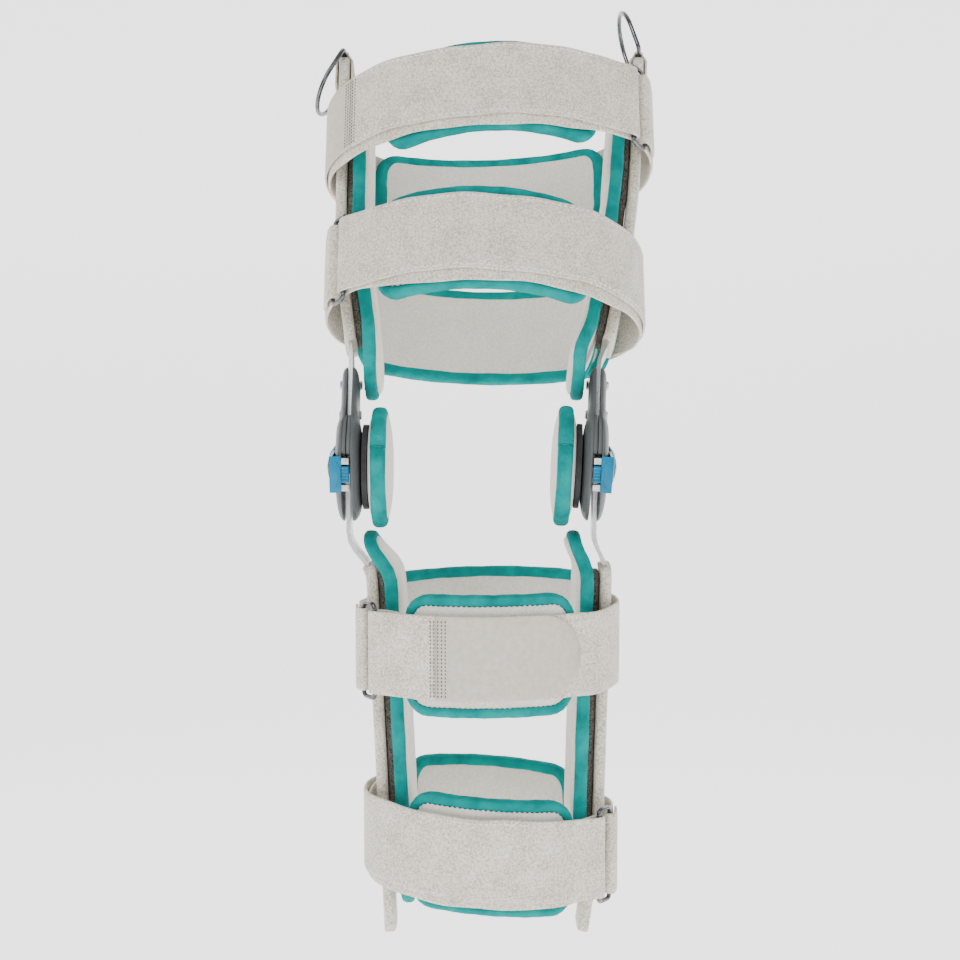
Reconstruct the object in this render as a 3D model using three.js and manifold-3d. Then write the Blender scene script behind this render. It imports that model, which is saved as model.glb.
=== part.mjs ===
// Hinged knee immobilizer: four straps with pads on two hinged uprights, open and unworn.
// Millimetres. +Z is up the leg, -Y the front, the origin midway between the two hinge centres.
// "out" is away from the leg's middle, "along" is the distance from the hinge along the leg.
import * as THREE from 'three';
import { mergeVertices } from 'three/addons/utils/BufferGeometryUtils.js';
import Module from 'manifold-3d';

const wasm = await Module();
wasm.setup();

// Stance
const thighLean = 20;
const calfLean = 5;
const rightHingeTilt = 3;
const hingeSpan = 150;

// Upright bars
const barThickness = 2.5;
const barWidth = 20;
const upperBarLength = 272;
const lowerBarLength = 266;
const barCornerReach = 6;

// Clearances
const gap = 0.3;
const pocketGap = 0.4;
const boreGap = 0.35;

// Hinge
const slotWidth = 5.4;
const headRadius = 33;
const headOuterWall = 4.7;
const headInnerWall = 5.9;
const headTop = 27;
const webDepth = 7.5;
const webFoot = 6.5;
const webTop = 55;
const neckWall = 3.8;
const neckFoot = 20;
const neckTop = 62;
const neckFootWidth = 40;
const neckTopWidth = 26;
const neckCorner = 4;
const barHeadRadius = 13;
const pinRadius = 3;
const rivetRadius = 2;
const rivetHeadRadius = 3.3;
const rivetHeadHeight = 1.3;
const lowerRivet = 34;
const upperRivet = 54;

// Range dial and its stop
const dialAngle = 28;
const dialPlate = 1.6;
const dialHubRadius = 9;
const dialHubHeight = 2.2;
const dialBackRadius = 11;
const dialHalfAngle = 17.5;
const dialRim = 3;
const screwShankRadius = 2.2;
const screwHeadRadius = 5;
const screwHeadHeight = 1.4;
const sliderHeight = 9.8;
const sliderDepth = 8;
const sliderTeeth = 5;
const toothDepth = 0.7;
const stopBlockHeight = 3.6;
const stopBlockDepth = 6;
const stopBlockSpace = 1.3;

// Sleeves on the uprights
const sleeveWall = 2.1;
const sleeveWidth = 32;
const upperSleeveStart = 80;
const upperSleeveOverrun = 9;
const lowerSleeveStart = 60;
const lowerSleeveOverrun = 20;

// Side pads and the hook strips that hold them to the sleeves
const sidePadThickness = 12;
const sidePadWidth = 64;
const hookStripThickness = 4.2;
const hookStripWidth = 24;
const padEdge = 3.6;
const upperSidePadStart = 48;
const upperSidePadInset = 20;
const lowerSidePadStart = 39.5;
const lowerSidePadOverrun = 4;
const hookStripInset = 20;

// Condyle pads
const condyleRadius = 37;
const condyleThickness = 16;
const condyleBacking = 2.2;
const condyleBackingRadius = 26;

// Straps, tabs and strap rings
const strapWidth = 50;
const strapThickness = 2;
const tabThickness = 1.6;
const ringLength = 54;
const ringReach = 15;
const ringWire = 2.8;
const ringBevel = 0.8;
const anchorTail = 16;
const legRoundness = 2;
const layerSpace = 0.4;

// Front and back pads
const padThickness = 9;
const ringAngle = 57;
const frontPadSpread = 43;
const backPadSpread = 52;
const padSeat = 0.4;
const strapSeat = 1.1;

// Top D-rings and their cloth loops
const dRingWidth = 40;
const dRingReach = 38;
const dRingWire = 3;
const loopWidth = 24;
const loopThickness = 1.6;
const loopLap = 18;
const ringLift = 4;
const leftRingTip = -152;
const rightRingTip = -16;

// Facets
const roundSegments = 24;
const smallSegments = 12;
const cornerSegments = 2;
const webSegments = 5;
const rivetSides = 8;
const wireSides = 6;
const stationStep = 17;

// Lines of the four uprights past the hinge: along is a share of the bar's length, out a share of
// half the hinge span by which the bar stands further out than the hinge centre.
const uprightRows = {
  upper_left: [
    { along: 0.31, out: 0.013 },
    { along: 0.5, out: 0.113 },
    { along: 1.07, out: 0.125 },
  ],
  upper_right: [
    { along: 0.3, out: 0.14 },
    { along: 0.52, out: 0.3 },
    { along: 0.67, out: 0.375 },
    { along: 0.86, out: 0.43 },
    { along: 1.07, out: 0.46 },
  ],
  lower_left: [
    { along: 0.235, out: -0.187 },
    { along: 0.6, out: -0.244 },
    { along: 1.08, out: -0.327 },
  ],
  lower_right: [
    { along: 0.225, out: 0.09 },
    { along: 0.6, out: 0.053 },
    { along: 0.85, out: 0.03 },
    { along: 1.08, out: -0.09 },
  ],
};

// The four straps: place is a share of the bar's length, slope is the strap's rise towards +X, front
// and back are shares of half the hinge span, and ring says which side the strap ring is on. The two
// angles, measured from the front of the leg away from the ring, say where the plush ends and where
// its hook tab ends.
const strapRows = [
  {
    name: 'thigh_top', limb: 'upper', place: 0.83, slope: 0.043, front: 1, back: 1.1, ring: 1,
    plushEnd: 55, tabEnd: 128,
  },
  {
    name: 'thigh_low', limb: 'upper', place: 0.435, slope: -0.026, front: 1.07, back: 1.02, ring: -1,
    plushEnd: 96, tabEnd: 140,
  },
  {
    name: 'calf_top', limb: 'lower', place: 0.402, slope: 0.011, front: 0.83, back: 1.02, ring: -1,
    plushEnd: -23, tabEnd: 41,
  },
  {
    name: 'calf_low', limb: 'lower', place: 0.86, slope: -0.075, front: 0.75, back: 0.85, ring: 1,
    plushEnd: 96, tabEnd: 140,
  },
];

// The pads under each strap: height is a share of the strap's width, and droop is how far the pad's
// ends hang below its middle, as the same share.
const padRows = {
  thigh_top: { height: 1.24, droop: 0.15 },
  thigh_low: { height: 1.34, droop: 0.08 },
  calf_top: { height: 1.46, droop: 0 },
  calf_low: { height: 1.42, droop: 0 },
};

const radians = (degrees) => degrees * Math.PI / 180;
const halfSpan = hingeSpan / 2;
const upperSleeveEnd = upperBarLength + upperSleeveOverrun;
const lowerSleeveEnd = lowerBarLength + lowerSleeveOverrun;
const upperSidePadEnd = upperBarLength - upperSidePadInset;
const lowerSidePadEnd = lowerBarLength + lowerSidePadOverrun;
const slotHalf = slotWidth / 2;
const sleeveHalf = barThickness / 2 + pocketGap + sleeveWall;
const headOuter = slotHalf + headOuterWall;
const headInner = slotHalf + headInnerWall;
const neckInside = barThickness / 2 + gap;
const neckOutside = neckInside + neckWall;
const sidePadOffset = sleeveHalf + gap + hookStripThickness + sidePadThickness / 2;
const loopRadius = ringWire / 2 + pocketGap + strapThickness / 2;
const layerOffset = strapThickness + layerSpace;

const finish = (color, roughness, metalness = 0) =>
  new THREE.MeshStandardMaterial({ color, roughness, metalness });
const plush = () => finish(0xc8c5be, 0.95);
const weave = () => finish(0xb9b6ae, 0.85);
const padCloth = () => finish(0x0b8f92, 0.8);
const greyPlastic = () => finish(0x6b7070, 0.55);
const bluePlastic = () => finish(0x0a96c8, 0.4);
const aluminium = () => finish(0xc9ccce, 0.35, 0.9);
const steel = () => finish(0x8d9092, 0.25, 1);

const group = new THREE.Group();
const limbs = { upper: new THREE.Group(), lower: new THREE.Group() };
limbs.upper.rotation.x = radians(-thighLean);
limbs.lower.rotation.x = radians(calfLean);
group.add(limbs.upper, limbs.lower);

function addMesh(parent, name, geometry, material) {
  const mesh = new THREE.Mesh(geometry, material);
  mesh.name = name;
  parent.add(mesh);
  return mesh;
}

// Solids from sections

function signedVolume(geometry) {
  const position = geometry.getAttribute('position');
  const index = geometry.getIndex();
  const corners = [new THREE.Vector3(), new THREE.Vector3(), new THREE.Vector3()];
  let total = 0;
  for (let i = 0; i < index.count; i += 3) {
    corners.forEach((corner, k) => corner.fromBufferAttribute(position, index.getX(i + k)));
    total += corners[0].dot(corners[1].cross(corners[2]));
  }
  return total / 6;
}

// A closed body through equal rings of points. A looped body joins its last ring to the first.
function skin(rings, loop = false) {
  const count = rings[0].length;
  const faces = [];
  const spans = loop ? rings.length : rings.length - 1;
  for (let i = 0; i < spans; i += 1) {
    const here = i * count;
    const there = ((i + 1) % rings.length) * count;
    for (let j = 0; j < count; j += 1) {
      const next = (j + 1) % count;
      faces.push([here + j, here + next, there + next], [here + j, there + next, there + j]);
    }
  }
  if (!loop) {
    const last = (rings.length - 1) * count;
    for (let j = 1; j < count - 1; j += 1) {
      faces.push([0, j + 1, j], [last, last + j, last + j + 1]);
    }
  }
  const geometry = new THREE.BufferGeometry();
  const positions = rings.flat().flatMap((point) => point.toArray());
  geometry.setAttribute('position', new THREE.Float32BufferAttribute(positions, 3));
  geometry.setIndex(faces.flat());
  if (signedVolume(geometry) < 0) {
    geometry.setIndex(faces.flatMap((face) => [face[0], face[2], face[1]]));
  }
  return geometry;
}

// Cuts and joins

function toManifold(geometry) {
  const bare = geometry.clone();
  bare.deleteAttribute('normal');
  bare.deleteAttribute('uv');
  const merged = mergeVertices(bare, 1e-4);
  const vertProperties = new Float32Array(merged.getAttribute('position').array);
  const triVerts = new Uint32Array(merged.getIndex().array);
  return new wasm.Manifold(new wasm.Mesh({ numProp: 3, vertProperties, triVerts }));
}

function fromManifold(solid) {
  const mesh = solid.getMesh();
  const geometry = new THREE.BufferGeometry();
  geometry.setAttribute('position', new THREE.BufferAttribute(new Float32Array(mesh.vertProperties), 3));
  geometry.setIndex(new THREE.BufferAttribute(new Uint32Array(mesh.triVerts), 1));
  return geometry;
}

const join = (...parts) => fromManifold(parts.map(toManifold).reduce((sum, part) => sum.add(part)));
const cut = (base, ...tools) => {
  return fromManifold(tools.map(toManifold).reduce((rest, tool) => rest.subtract(tool), toManifold(base)));
};

// Outlines drawn in the Y-Z plane and given thickness outwards, from w1 to w2 on the given side

function plate(shape, w1, w2, side, curveSegments = roundSegments) {
  const geometry = new THREE.ExtrudeGeometry(shape, { depth: w2 - w1, bevelEnabled: false, curveSegments });
  const start = side > 0 ? w1 : -w2;
  const turn = new THREE.Matrix4().set(0, 0, 1, start, 1, 0, 0, 0, 0, 1, 0, 0, 0, 0, 0, 1);
  return geometry.applyMatrix4(turn);
}

function rod(radius, w1, w2, side, z = 0, segments = smallSegments) {
  const geometry = new THREE.CylinderGeometry(radius, radius, w2 - w1, segments);
  geometry.rotateZ(Math.PI / 2);
  return geometry.translate(side * (w1 + w2) / 2, 0, z);
}

// A turned piece about the X axis: rows of radius and outward place
function turned(rows, side, z = 0, segments = smallSegments) {
  const profile = rows.map(([radius, out]) => new THREE.Vector2(radius, out));
  const geometry = new THREE.LatheGeometry(profile, segments);
  geometry.rotateZ(-Math.PI / 2);
  if (side < 0) {
    geometry.rotateY(Math.PI);
  }
  return geometry.translate(0, 0, z);
}

// Lines of the uprights

const sideOf = (where) => (where === 'left' ? -1 : 1);
const tiltOf = (where) => (where === 'left' ? 0 : rightHingeTilt);
const limbSign = { upper: 1, lower: -1 };
const barLengths = { upper: upperBarLength, lower: lowerBarLength };

// Points (along, x) of an upright's line, with its straight run through the hinge first
function uprightLine(limb, where) {
  const side = sideOf(where);
  const straight = limb === 'upper' ? neckTop + gap + barCornerReach : headRadius + 2 * barCornerReach;
  const slope = limb === 'upper' ? Math.tan(radians(tiltOf(where))) : -Math.tan(radians(tiltOf(where) / 3));
  const rows = uprightRows[`${limb}_${where}`];
  const hinge = new THREE.Vector2(0, side * halfSpan);
  const corners = [hinge, new THREE.Vector2(straight, hinge.y + slope * straight)];
  rows.forEach((row) => {
    corners.push(new THREE.Vector2(row.along * barLengths[limb], side * halfSpan * (1 + row.out)));
  });
  return roundCorners(corners);
}

function roundCorners(corners) {
  const points = [corners[0]];
  for (let i = 1; i < corners.length - 1; i += 1) {
    const towards = (other) => corners[i].clone().lerp(other, barCornerReach / corners[i].distanceTo(other));
    const before = towards(corners[i - 1]);
    const after = towards(corners[i + 1]);
    points.push(...new THREE.QuadraticBezierCurve(before, corners[i], after).getPoints(2));
  }
  points.push(corners[corners.length - 1]);
  return points;
}

function lineX(line, along) {
  const next = Math.max(1, line.findIndex((point) => point.x >= along));
  const to = line[along > line[line.length - 1].x ? line.length - 1 : next];
  const from = line[along > line[line.length - 1].x ? line.length - 2 : next - 1];
  return from.y + (to.y - from.y) * (along - from.x) / (to.x - from.x);
}

// The points of a line between two distances, with its own corners kept
function stretch(line, start, end) {
  const inside = line.filter((point) => point.x > start + 1 && point.x < end - 1);
  return [new THREE.Vector2(start, lineX(line, start)), ...inside, new THREE.Vector2(end, lineX(line, end))];
}

// A flat bar along a line: thickness across it, width in Y, moved outwards by shift
function barSolid(line, sign, side, start, end, thickness, width, shift = 0) {
  const points = stretch(line, start, end);
  const rings = points.map((point, i) => {
    const before = points[Math.max(0, i - 1)];
    const after = points[Math.min(points.length - 1, i + 1)];
    const normal = new THREE.Vector2(-(after.y - before.y), after.x - before.x).normalize();
    const corner = (k, y) => new THREE.Vector3(
      point.y + normal.y * (k * thickness / 2 + side * shift),
      y,
      sign * (point.x + normal.x * (k * thickness / 2 + side * shift)),
    );
    return [corner(1, -width / 2), corner(1, width / 2), corner(-1, width / 2), corner(-1, -width / 2)];
  });
  return skin(rings);
}

// Uprights, sleeves and side pads

function upperBar(where) {
  const side = sideOf(where);
  const line = uprightLine('upper', where);
  const bar = barSolid(line, 1, side, barHeadRadius + 3, upperBarLength, barThickness, barWidth);
  const holes = [lowerRivet, upperRivet].map((place) => {
    const hole = rod(rivetRadius + boreGap, -barThickness * 2, barThickness * 2, 1);
    return hole.translate(lineX(line, place), 0, place);
  });
  return cut(bar, ...holes);
}

function lowerBar(where) {
  const side = sideOf(where);
  const line = uprightLine('lower', where);
  const shank = barSolid(line, -1, side, pinRadius, lowerBarLength, barThickness, barWidth);
  const head = rod(barHeadRadius, -barThickness / 2, barThickness / 2, 1, 0, roundSegments);
  head.translate(side * halfSpan, 0, 0);
  const bore = rod(pinRadius + boreGap, -barThickness * 2, barThickness * 2, 1);
  bore.translate(side * halfSpan, 0, 0);
  return cut(join(shank, head), bore);
}

function sleeve(limb, where) {
  const side = sideOf(where);
  const sign = limbSign[limb];
  const line = uprightLine(limb, where);
  const [start, end] = limb === 'upper'
    ? [upperSleeveStart, upperSleeveEnd]
    : [lowerSleeveStart, lowerSleeveEnd];
  const body = barSolid(line, sign, side, start, end, 2 * sleeveHalf, sleeveWidth);
  const pocketEnd = barLengths[limb] + 1;
  const pocketThickness = barThickness + 2 * pocketGap;
  const pocket = barSolid(line, sign, side, start - 4, pocketEnd, pocketThickness, barWidth + 2 * pocketGap);
  return cut(body, pocket);
}

// Eight points of a section with cut corners, u across and v along the height
function paddedSection(across, height, edge) {
  const u = across / 2;
  const v = height / 2;
  return [[-u, -v + edge], [-u + edge, -v], [u - edge, -v], [u, -v + edge],
    [u, v - edge], [u - edge, v], [-u + edge, v], [-u, v - edge]];
}

function sidePad(limb, where) {
  const side = sideOf(where);
  const sign = limbSign[limb];
  const line = uprightLine(limb, where);
  const [start, end] = limb === 'upper'
    ? [upperSidePadStart, upperSidePadEnd]
    : [lowerSidePadStart, lowerSidePadEnd];
  const sleeveStart = limb === 'upper' ? upperSleeveStart : lowerSleeveStart;
  const places = [start, start + padEdge, ...stretch(line, start + padEdge, end - padEdge).slice(1, -1)
    .map((point) => point.x), end - padEdge, end];
  const rings = places.map((along, i) => {
    const shrink = i === 0 || i === places.length - 1 ? padEdge : 0;
    const middle = lineX(line, along) - side * sidePadOffset;
    const section = paddedSection(sidePadThickness - 1.4 * shrink, sidePadWidth - 2 * shrink, padEdge);
    return section.map(([u, v]) => new THREE.Vector3(middle + u, v, sign * along));
  });
  const stripShift = -(sleeveHalf + gap + hookStripThickness / 2 + 0.5);
  const strip = barSolid(line, sign, side, sleeveStart + 4, end - hookStripInset, hookStripThickness + 1,
    hookStripWidth, stripShift);
  return join(skin(rings), strip);
}

// Hinges

function hingeGroup(where) {
  const place = new THREE.Group();
  place.position.x = sideOf(where) * halfSpan;
  place.rotation.y = radians(tiltOf(where));
  limbs.upper.add(place);
  return place;
}

function headOutline() {
  const shape = new THREE.Shape();
  const clip = Math.asin(headTop / headRadius);
  shape.absarc(0, 0, headRadius, Math.PI - clip, 2 * Math.PI + clip, false);
  return shape;
}

function neckOutline() {
  const foot = neckFootWidth / 2;
  const top = neckTopWidth / 2;
  const shape = new THREE.Shape();
  shape.moveTo(-foot, neckFoot);
  shape.lineTo(foot, neckFoot);
  shape.lineTo(top, neckTop - neckCorner);
  shape.lineTo(top - neckCorner, neckTop);
  shape.lineTo(-top + neckCorner, neckTop);
  shape.lineTo(-top, neckTop - neckCorner);
  return shape;
}

// The wall that closes the front of the slot, from just above the stop blocks to the neck
function webOutline() {
  const shape = new THREE.Shape();
  const outer = headRadius - gap;
  shape.absarc(0, 0, outer, Math.PI - radians(webTop), Math.PI + radians(webFoot), false);
  shape.absarc(0, 0, outer - webDepth, Math.PI + radians(webFoot), Math.PI - radians(webTop), true);
  return shape;
}

// One half of the hinge housing, on the outer or the inner side of the slot
function hingeShell(where, facing) {
  const side = sideOf(where) * facing;
  const reach = facing > 0 ? headOuter : headInner;
  const head = plate(headOutline(), slotHalf, reach, side);
  const neck = plate(neckOutline(), neckInside, neckOutside, side);
  const web = plate(webOutline(), gap / 2, slotHalf + 1, side, webSegments);
  const bores = [lowerRivet, upperRivet].map((z) => rod(rivetRadius + boreGap, 0, 2 * reach, side, z));
  bores.push(rod(pinRadius + boreGap, 0, 2 * reach, side));
  return cut(join(head, neck, web), ...bores);
}

function rivet(where, z) {
  const under = neckOutside + gap;
  const top = under + rivetHeadHeight;
  const half = [[rivetRadius, under], [rivetHeadRadius, under], [rivetHeadRadius * 0.75, top], [0, top]];
  const rows = [...half.map(([radius, out]) => [radius, -out]).reverse(), ...half];
  return turned(rows, sideOf(where), z, rivetSides);
}

function condylePad(where) {
  const half = condyleThickness / 2;
  const rows = [[0, -half], [0.8, -half], [0.93, -0.78 * half], [1, -0.3 * half], [1, 0.3 * half],
    [0.93, 0.78 * half], [0.8, half], [0, half]].map(([share, out]) => [share * condyleRadius, out]);
  const seat = headInner + gap;
  const cushion = turned(rows, 1, 0, roundSegments);
  cushion.translate(-sideOf(where) * (seat + condyleBacking + half), 0, 0);
  const backing = rod(condyleBackingRadius, seat, seat + condyleBacking + 1, -sideOf(where), 0, roundSegments);
  return join(cushion, backing);
}

function sectorOutline(inner, outer, halfAngle) {
  const shape = new THREE.Shape();
  shape.absarc(0, 0, outer, Math.PI - halfAngle, Math.PI + halfAngle, false);
  shape.absarc(0, 0, inner, Math.PI + halfAngle, Math.PI - halfAngle, true);
  return shape;
}

function dialOutline(rim, halfAngle) {
  const shape = new THREE.Shape();
  shape.absarc(0, 0, rim, Math.PI - halfAngle, Math.PI + halfAngle, false);
  shape.absarc(0, 0, dialBackRadius, -Math.PI / 2, Math.PI / 2, false);
  return shape;
}

function rangeDial(where) {
  const side = sideOf(where);
  const inner = headRadius + pocketGap;
  const rim = inner + dialRim;
  const seat = headOuter + gap;
  const halfAngle = radians(dialHalfAngle);
  const face = plate(dialOutline(rim, halfAngle), seat, seat + dialPlate, side, smallSegments);
  const sector = sectorOutline(inner, rim, halfAngle);
  const bridge = plate(sector, slotHalf - gap, seat + dialPlate, side, smallSegments);
  const hub = rod(dialHubRadius, seat, seat + dialPlate + dialHubHeight, side, 0, 2 * smallSegments);
  const bore = rod(screwShankRadius + boreGap, 0, 3 * seat, side);
  return cut(join(face, bridge, hub), bore);
}

function dialScrew(where) {
  const foot = headOuter + gap;
  const under = foot + dialPlate + dialHubHeight + gap;
  const top = under + screwHeadHeight;
  const rows = [[0, foot], [screwShankRadius, foot], [screwShankRadius, under], [screwHeadRadius, under],
    [screwHeadRadius, under + screwHeadHeight / 2], [screwHeadRadius * 0.8, top], [0, top]];
  return turned(rows, sideOf(where), 0, smallSegments);
}

function stopSlider(where) {
  const rim = headRadius + pocketGap + dialRim - gap;
  const half = sliderHeight / 2;
  const pitch = sliderHeight / sliderTeeth;
  const shape = new THREE.Shape();
  shape.moveTo(-rim + sliderDepth, half);
  for (let i = 0; i < sliderTeeth; i += 1) {
    shape.lineTo(-rim + toothDepth, half - i * pitch);
    shape.lineTo(-rim, half - (i + 0.5) * pitch);
  }
  shape.lineTo(-rim + toothDepth, -half);
  shape.lineTo(-rim + sliderDepth, -half);
  return plate(shape, -(slotHalf - 2 * gap), slotHalf - 2 * gap, sideOf(where));
}

function stopBlock(where, up) {
  const rim = headRadius + pocketGap + dialRim - 2 * gap;
  const near = up * (sliderHeight / 2 + stopBlockSpace);
  const far = near + up * stopBlockHeight;
  const shape = new THREE.Shape();
  shape.moveTo(-rim, Math.min(near, far));
  shape.lineTo(-rim + stopBlockDepth, Math.min(near, far));
  shape.lineTo(-rim + stopBlockDepth, Math.max(near, far));
  shape.lineTo(-rim, Math.max(near, far));
  return plate(shape, -(slotHalf - 2 * gap), slotHalf - 2 * gap, sideOf(where));
}

// Straps and the pads under them

// The closed line that a strap's first layer follows round the leg. Distances run from the middle
// of the front towards the ring's side, and a full turn brings them back to the front.
function legCurve(row) {
  const along = row.place * barLengths[row.limb];
  const shift = limbSign[row.limb] * row.slope * halfSpan;
  const edges = [-strapWidth / 2, 0, strapWidth / 2];
  const left = Math.min(...edges.map((edge) => lineX(uprightLine(row.limb, 'left'), along - shift + edge)));
  const right = Math.max(...edges.map((edge) => lineX(uprightLine(row.limb, 'right'), along + shift + edge)));
  const middle = (left + right) / 2;
  const front = row.front * halfSpan;
  const back = row.back * halfSpan;
  const corner = (sleeveWidth / 2 / Math.min(front, back)) ** legRoundness;
  const reach = (right - left) / 2 + sleeveHalf + strapThickness / 2 + strapSeat;
  const half = reach / (1 - corner) ** (1 / legRoundness);
  const bend = (value) => Math.sign(value) * Math.abs(value) ** (2 / legRoundness);
  const samples = 720;
  const points = [];
  for (let i = 0; i <= samples; i += 1) {
    const angle = 2 * Math.PI * i / samples;
    const depth = Math.cos(angle) > 0 ? front : back;
    const x = middle + row.ring * half * bend(Math.sin(angle));
    points.push(new THREE.Vector2(x, -depth * bend(Math.cos(angle))));
  }
  const lengths = [0];
  for (let i = 1; i <= samples; i += 1) {
    lengths.push(lengths[i - 1] + points[i].distanceTo(points[i - 1]));
  }
  const total = lengths[samples];
  const pointAt = (distance) => {
    const wrapped = ((distance % total) + total) % total;
    const next = Math.max(1, lengths.findIndex((length) => length >= wrapped));
    const share = (wrapped - lengths[next - 1]) / (lengths[next] - lengths[next - 1]);
    return points[next - 1].clone().lerp(points[next], share);
  };
  const normalAt = (distance) => {
    const tangent = pointAt(distance + 2).sub(pointAt(distance - 2)).normalize();
    return new THREE.Vector2(tangent.y, -tangent.x).multiplyScalar(row.ring);
  };
  const place = (distance, offset) => pointAt(distance).addScaledVector(normalAt(distance), offset);
  const distanceAt = (degrees) => lengths[Math.round(((degrees + 360) % 360) / 360 * samples)];
  const heightAt = (spot) => limbSign[row.limb] * along + row.slope * (spot.x - middle);
  return { total, place, distanceAt, heightAt };
}

// A ribbon through plan points. heightAt gives its middle's height at a point, halfHeights its reach.
function ribbon(points, thickness, heightAt, halfHeights) {
  const rings = points.map((point, i) => {
    const before = points[Math.max(0, i - 1)];
    const after = points[Math.min(points.length - 1, i + 1)];
    const normal = new THREE.Vector2(after.y - before.y, before.x - after.x).setLength(thickness / 2);
    const corner = (k, up) => new THREE.Vector3(
      point.x + k * normal.x,
      point.y + k * normal.y,
      heightAt(point) + up * halfHeights[i],
    );
    return [corner(1, -1), corner(1, 1), corner(-1, 1), corner(-1, -1)];
  });
  return skin(rings);
}

const stationSpace = (curve) => curve.total / Math.round(curve.total / stationStep);

// Stations between two distances, on the same even spacing round the leg for every layer
function steps(curve, from, to) {
  const step = stationSpace(curve);
  const [low, high] = [Math.min(from, to), Math.max(from, to)];
  const inside = [];
  for (let k = Math.ceil(low / step + 0.2); k * step < high - 0.2 * step; k += 1) {
    inside.push(k * step);
  }
  return from < to ? [low, ...inside, high] : [high, ...inside.reverse(), low];
}

// Half a turn round a ring's bar, from the leg's side out, on the side given by way
function turnRound(curve, distance, way, outwards) {
  const turns = 6;
  return Array.from({ length: turns + 1 }, (_, i) => {
    const angle = Math.PI * (outwards ? i : turns - i) / turns;
    return curve.place(distance + way * loopRadius * Math.sin(angle), loopRadius * (1 - Math.cos(angle)));
  });
}

function strap(row) {
  const curve = legCurve(row);
  const frontBar = curve.distanceAt(ringAngle);
  const rearBar = frontBar + ringReach - ringWire;
  const plushEnd = curve.distanceAt(-row.plushEnd) - (row.plushEnd < 0 ? 0 : curve.total);
  const points = [
    curve.place(rearBar + anchorTail, layerOffset),
    curve.place(rearBar + anchorTail / 2, (layerOffset + 2 * loopRadius) / 2),
    ...turnRound(curve, rearBar, -1, false),
    ...steps(curve, rearBar, curve.total + frontBar).slice(1, -1).map((distance) => curve.place(distance, 0)),
    ...turnRound(curve, curve.total + frontBar, 1, true),
    curve.place(frontBar - anchorTail / 2, (layerOffset + 2 * loopRadius) / 2),
    ...steps(curve, frontBar - anchorTail, plushEnd).map((distance) => curve.place(distance, layerOffset)),
  ];
  return ribbon(points, strapThickness, curve.heightAt, points.map(() => strapWidth / 2));
}

function hookTab(row) {
  const curve = legCurve(row);
  const wrap = (degrees) => curve.distanceAt(-degrees) - (degrees < 0 ? 0 : curve.total);
  const start = wrap(row.plushEnd) - gap;
  const end = wrap(row.tabEnd);
  const radius = strapWidth / 2;
  const straight = steps(curve, start, end + radius);
  const round = [0.25, 0.5, 0.7, 0.85, 0.95, 0.99].map((share) => end + radius * (1 - share));
  const distances = [...straight, ...round];
  const halves = distances.map((distance) => {
    const left = Math.max(0, 1 - (distance - end) / radius);
    return radius * Math.sqrt(1 - left ** 2);
  });
  const points = distances.map((distance) => curve.place(distance, layerOffset));
  return ribbon(points, tabThickness, curve.heightAt, halves);
}

// A curved pad under a strap, spread each way from the front or the back of the leg
function legPad(row, centre, spread) {
  const curve = legCurve(row);
  const depth = strapThickness / 2 + padSeat + padThickness / 2;
  const height = padRows[row.name].height * strapWidth;
  const droop = padRows[row.name].droop * strapWidth;
  const middle = centre === 0 ? 0 : curve.distanceAt(centre);
  const reach = centre === 0 ? curve.distanceAt(spread) : curve.distanceAt(centre + spread) - middle;
  const step = stationSpace(curve);
  const low = Math.round((middle - reach) / step) * step;
  const high = Math.round((middle + reach) / step) * step;
  const distances = [low - padEdge, ...steps(curve, low, high), high + padEdge];
  const rings = distances.map((distance, i) => {
    const shrink = i === 0 || i === distances.length - 1 ? padEdge : 0;
    const section = paddedSection(padThickness - 1.4 * shrink, height - 2 * shrink, padEdge / 1.3);
    const drop = droop * ((distance - middle) / reach) ** 2;
    return section.map(([u, v]) => {
      const spot = curve.place(distance, u - depth);
      return new THREE.Vector3(spot.x, spot.y, curve.heightAt(spot) - drop + v);
    });
  });
  return skin(rings);
}

function strapRing(row) {
  const curve = legCurve(row);
  const frontBar = curve.place(curve.distanceAt(ringAngle), loopRadius);
  const rearBar = curve.place(curve.distanceAt(ringAngle) + ringReach - ringWire, loopRadius);
  const spot = frontBar.clone().lerp(rearBar, 0.5);
  const run = rearBar.sub(frontBar);
  const reachAcross = run.length() + ringWire;
  const outline = (length, reach, radius) => {
    const path = new THREE.Shape();
    const x = reach / 2;
    const y = length / 2;
    path.moveTo(-x + radius, -y);
    path.lineTo(x - radius, -y);
    path.absarc(x - radius, -y + radius, radius, -Math.PI / 2, 0, false);
    path.lineTo(x, y - radius);
    path.absarc(x - radius, y - radius, radius, 0, Math.PI / 2, false);
    path.lineTo(-x + radius, y);
    path.absarc(-x + radius, y - radius, radius, Math.PI / 2, Math.PI, false);
    path.lineTo(-x, -y + radius);
    path.absarc(-x + radius, -y + radius, radius, Math.PI, Math.PI * 1.5, false);
    return path;
  };
  const shape = outline(ringLength + 2 * ringWire - 2 * ringBevel, reachAcross - 2 * ringBevel, ringWire);
  const holeReach = reachAcross - 2 * ringWire + 2 * ringBevel;
  shape.holes.push(outline(ringLength + 2 * ringBevel, holeReach, ringWire / 2));
  const geometry = new THREE.ExtrudeGeometry(shape, {
    depth: ringWire - 2 * ringBevel,
    bevelEnabled: true,
    bevelThickness: ringBevel,
    bevelSize: ringBevel,
    bevelSegments: 1,
    curveSegments: cornerSegments,
  });
  geometry.translate(0, 0, -(ringWire - 2 * ringBevel) / 2);
  geometry.rotateX(Math.PI / 2);
  geometry.rotateZ(Math.atan2(run.y, run.x));
  return geometry.translate(spot.x, spot.y, curve.heightAt(spot));
}

// Top D-rings

const ringSeat = upperSleeveEnd + ringLift;

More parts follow.
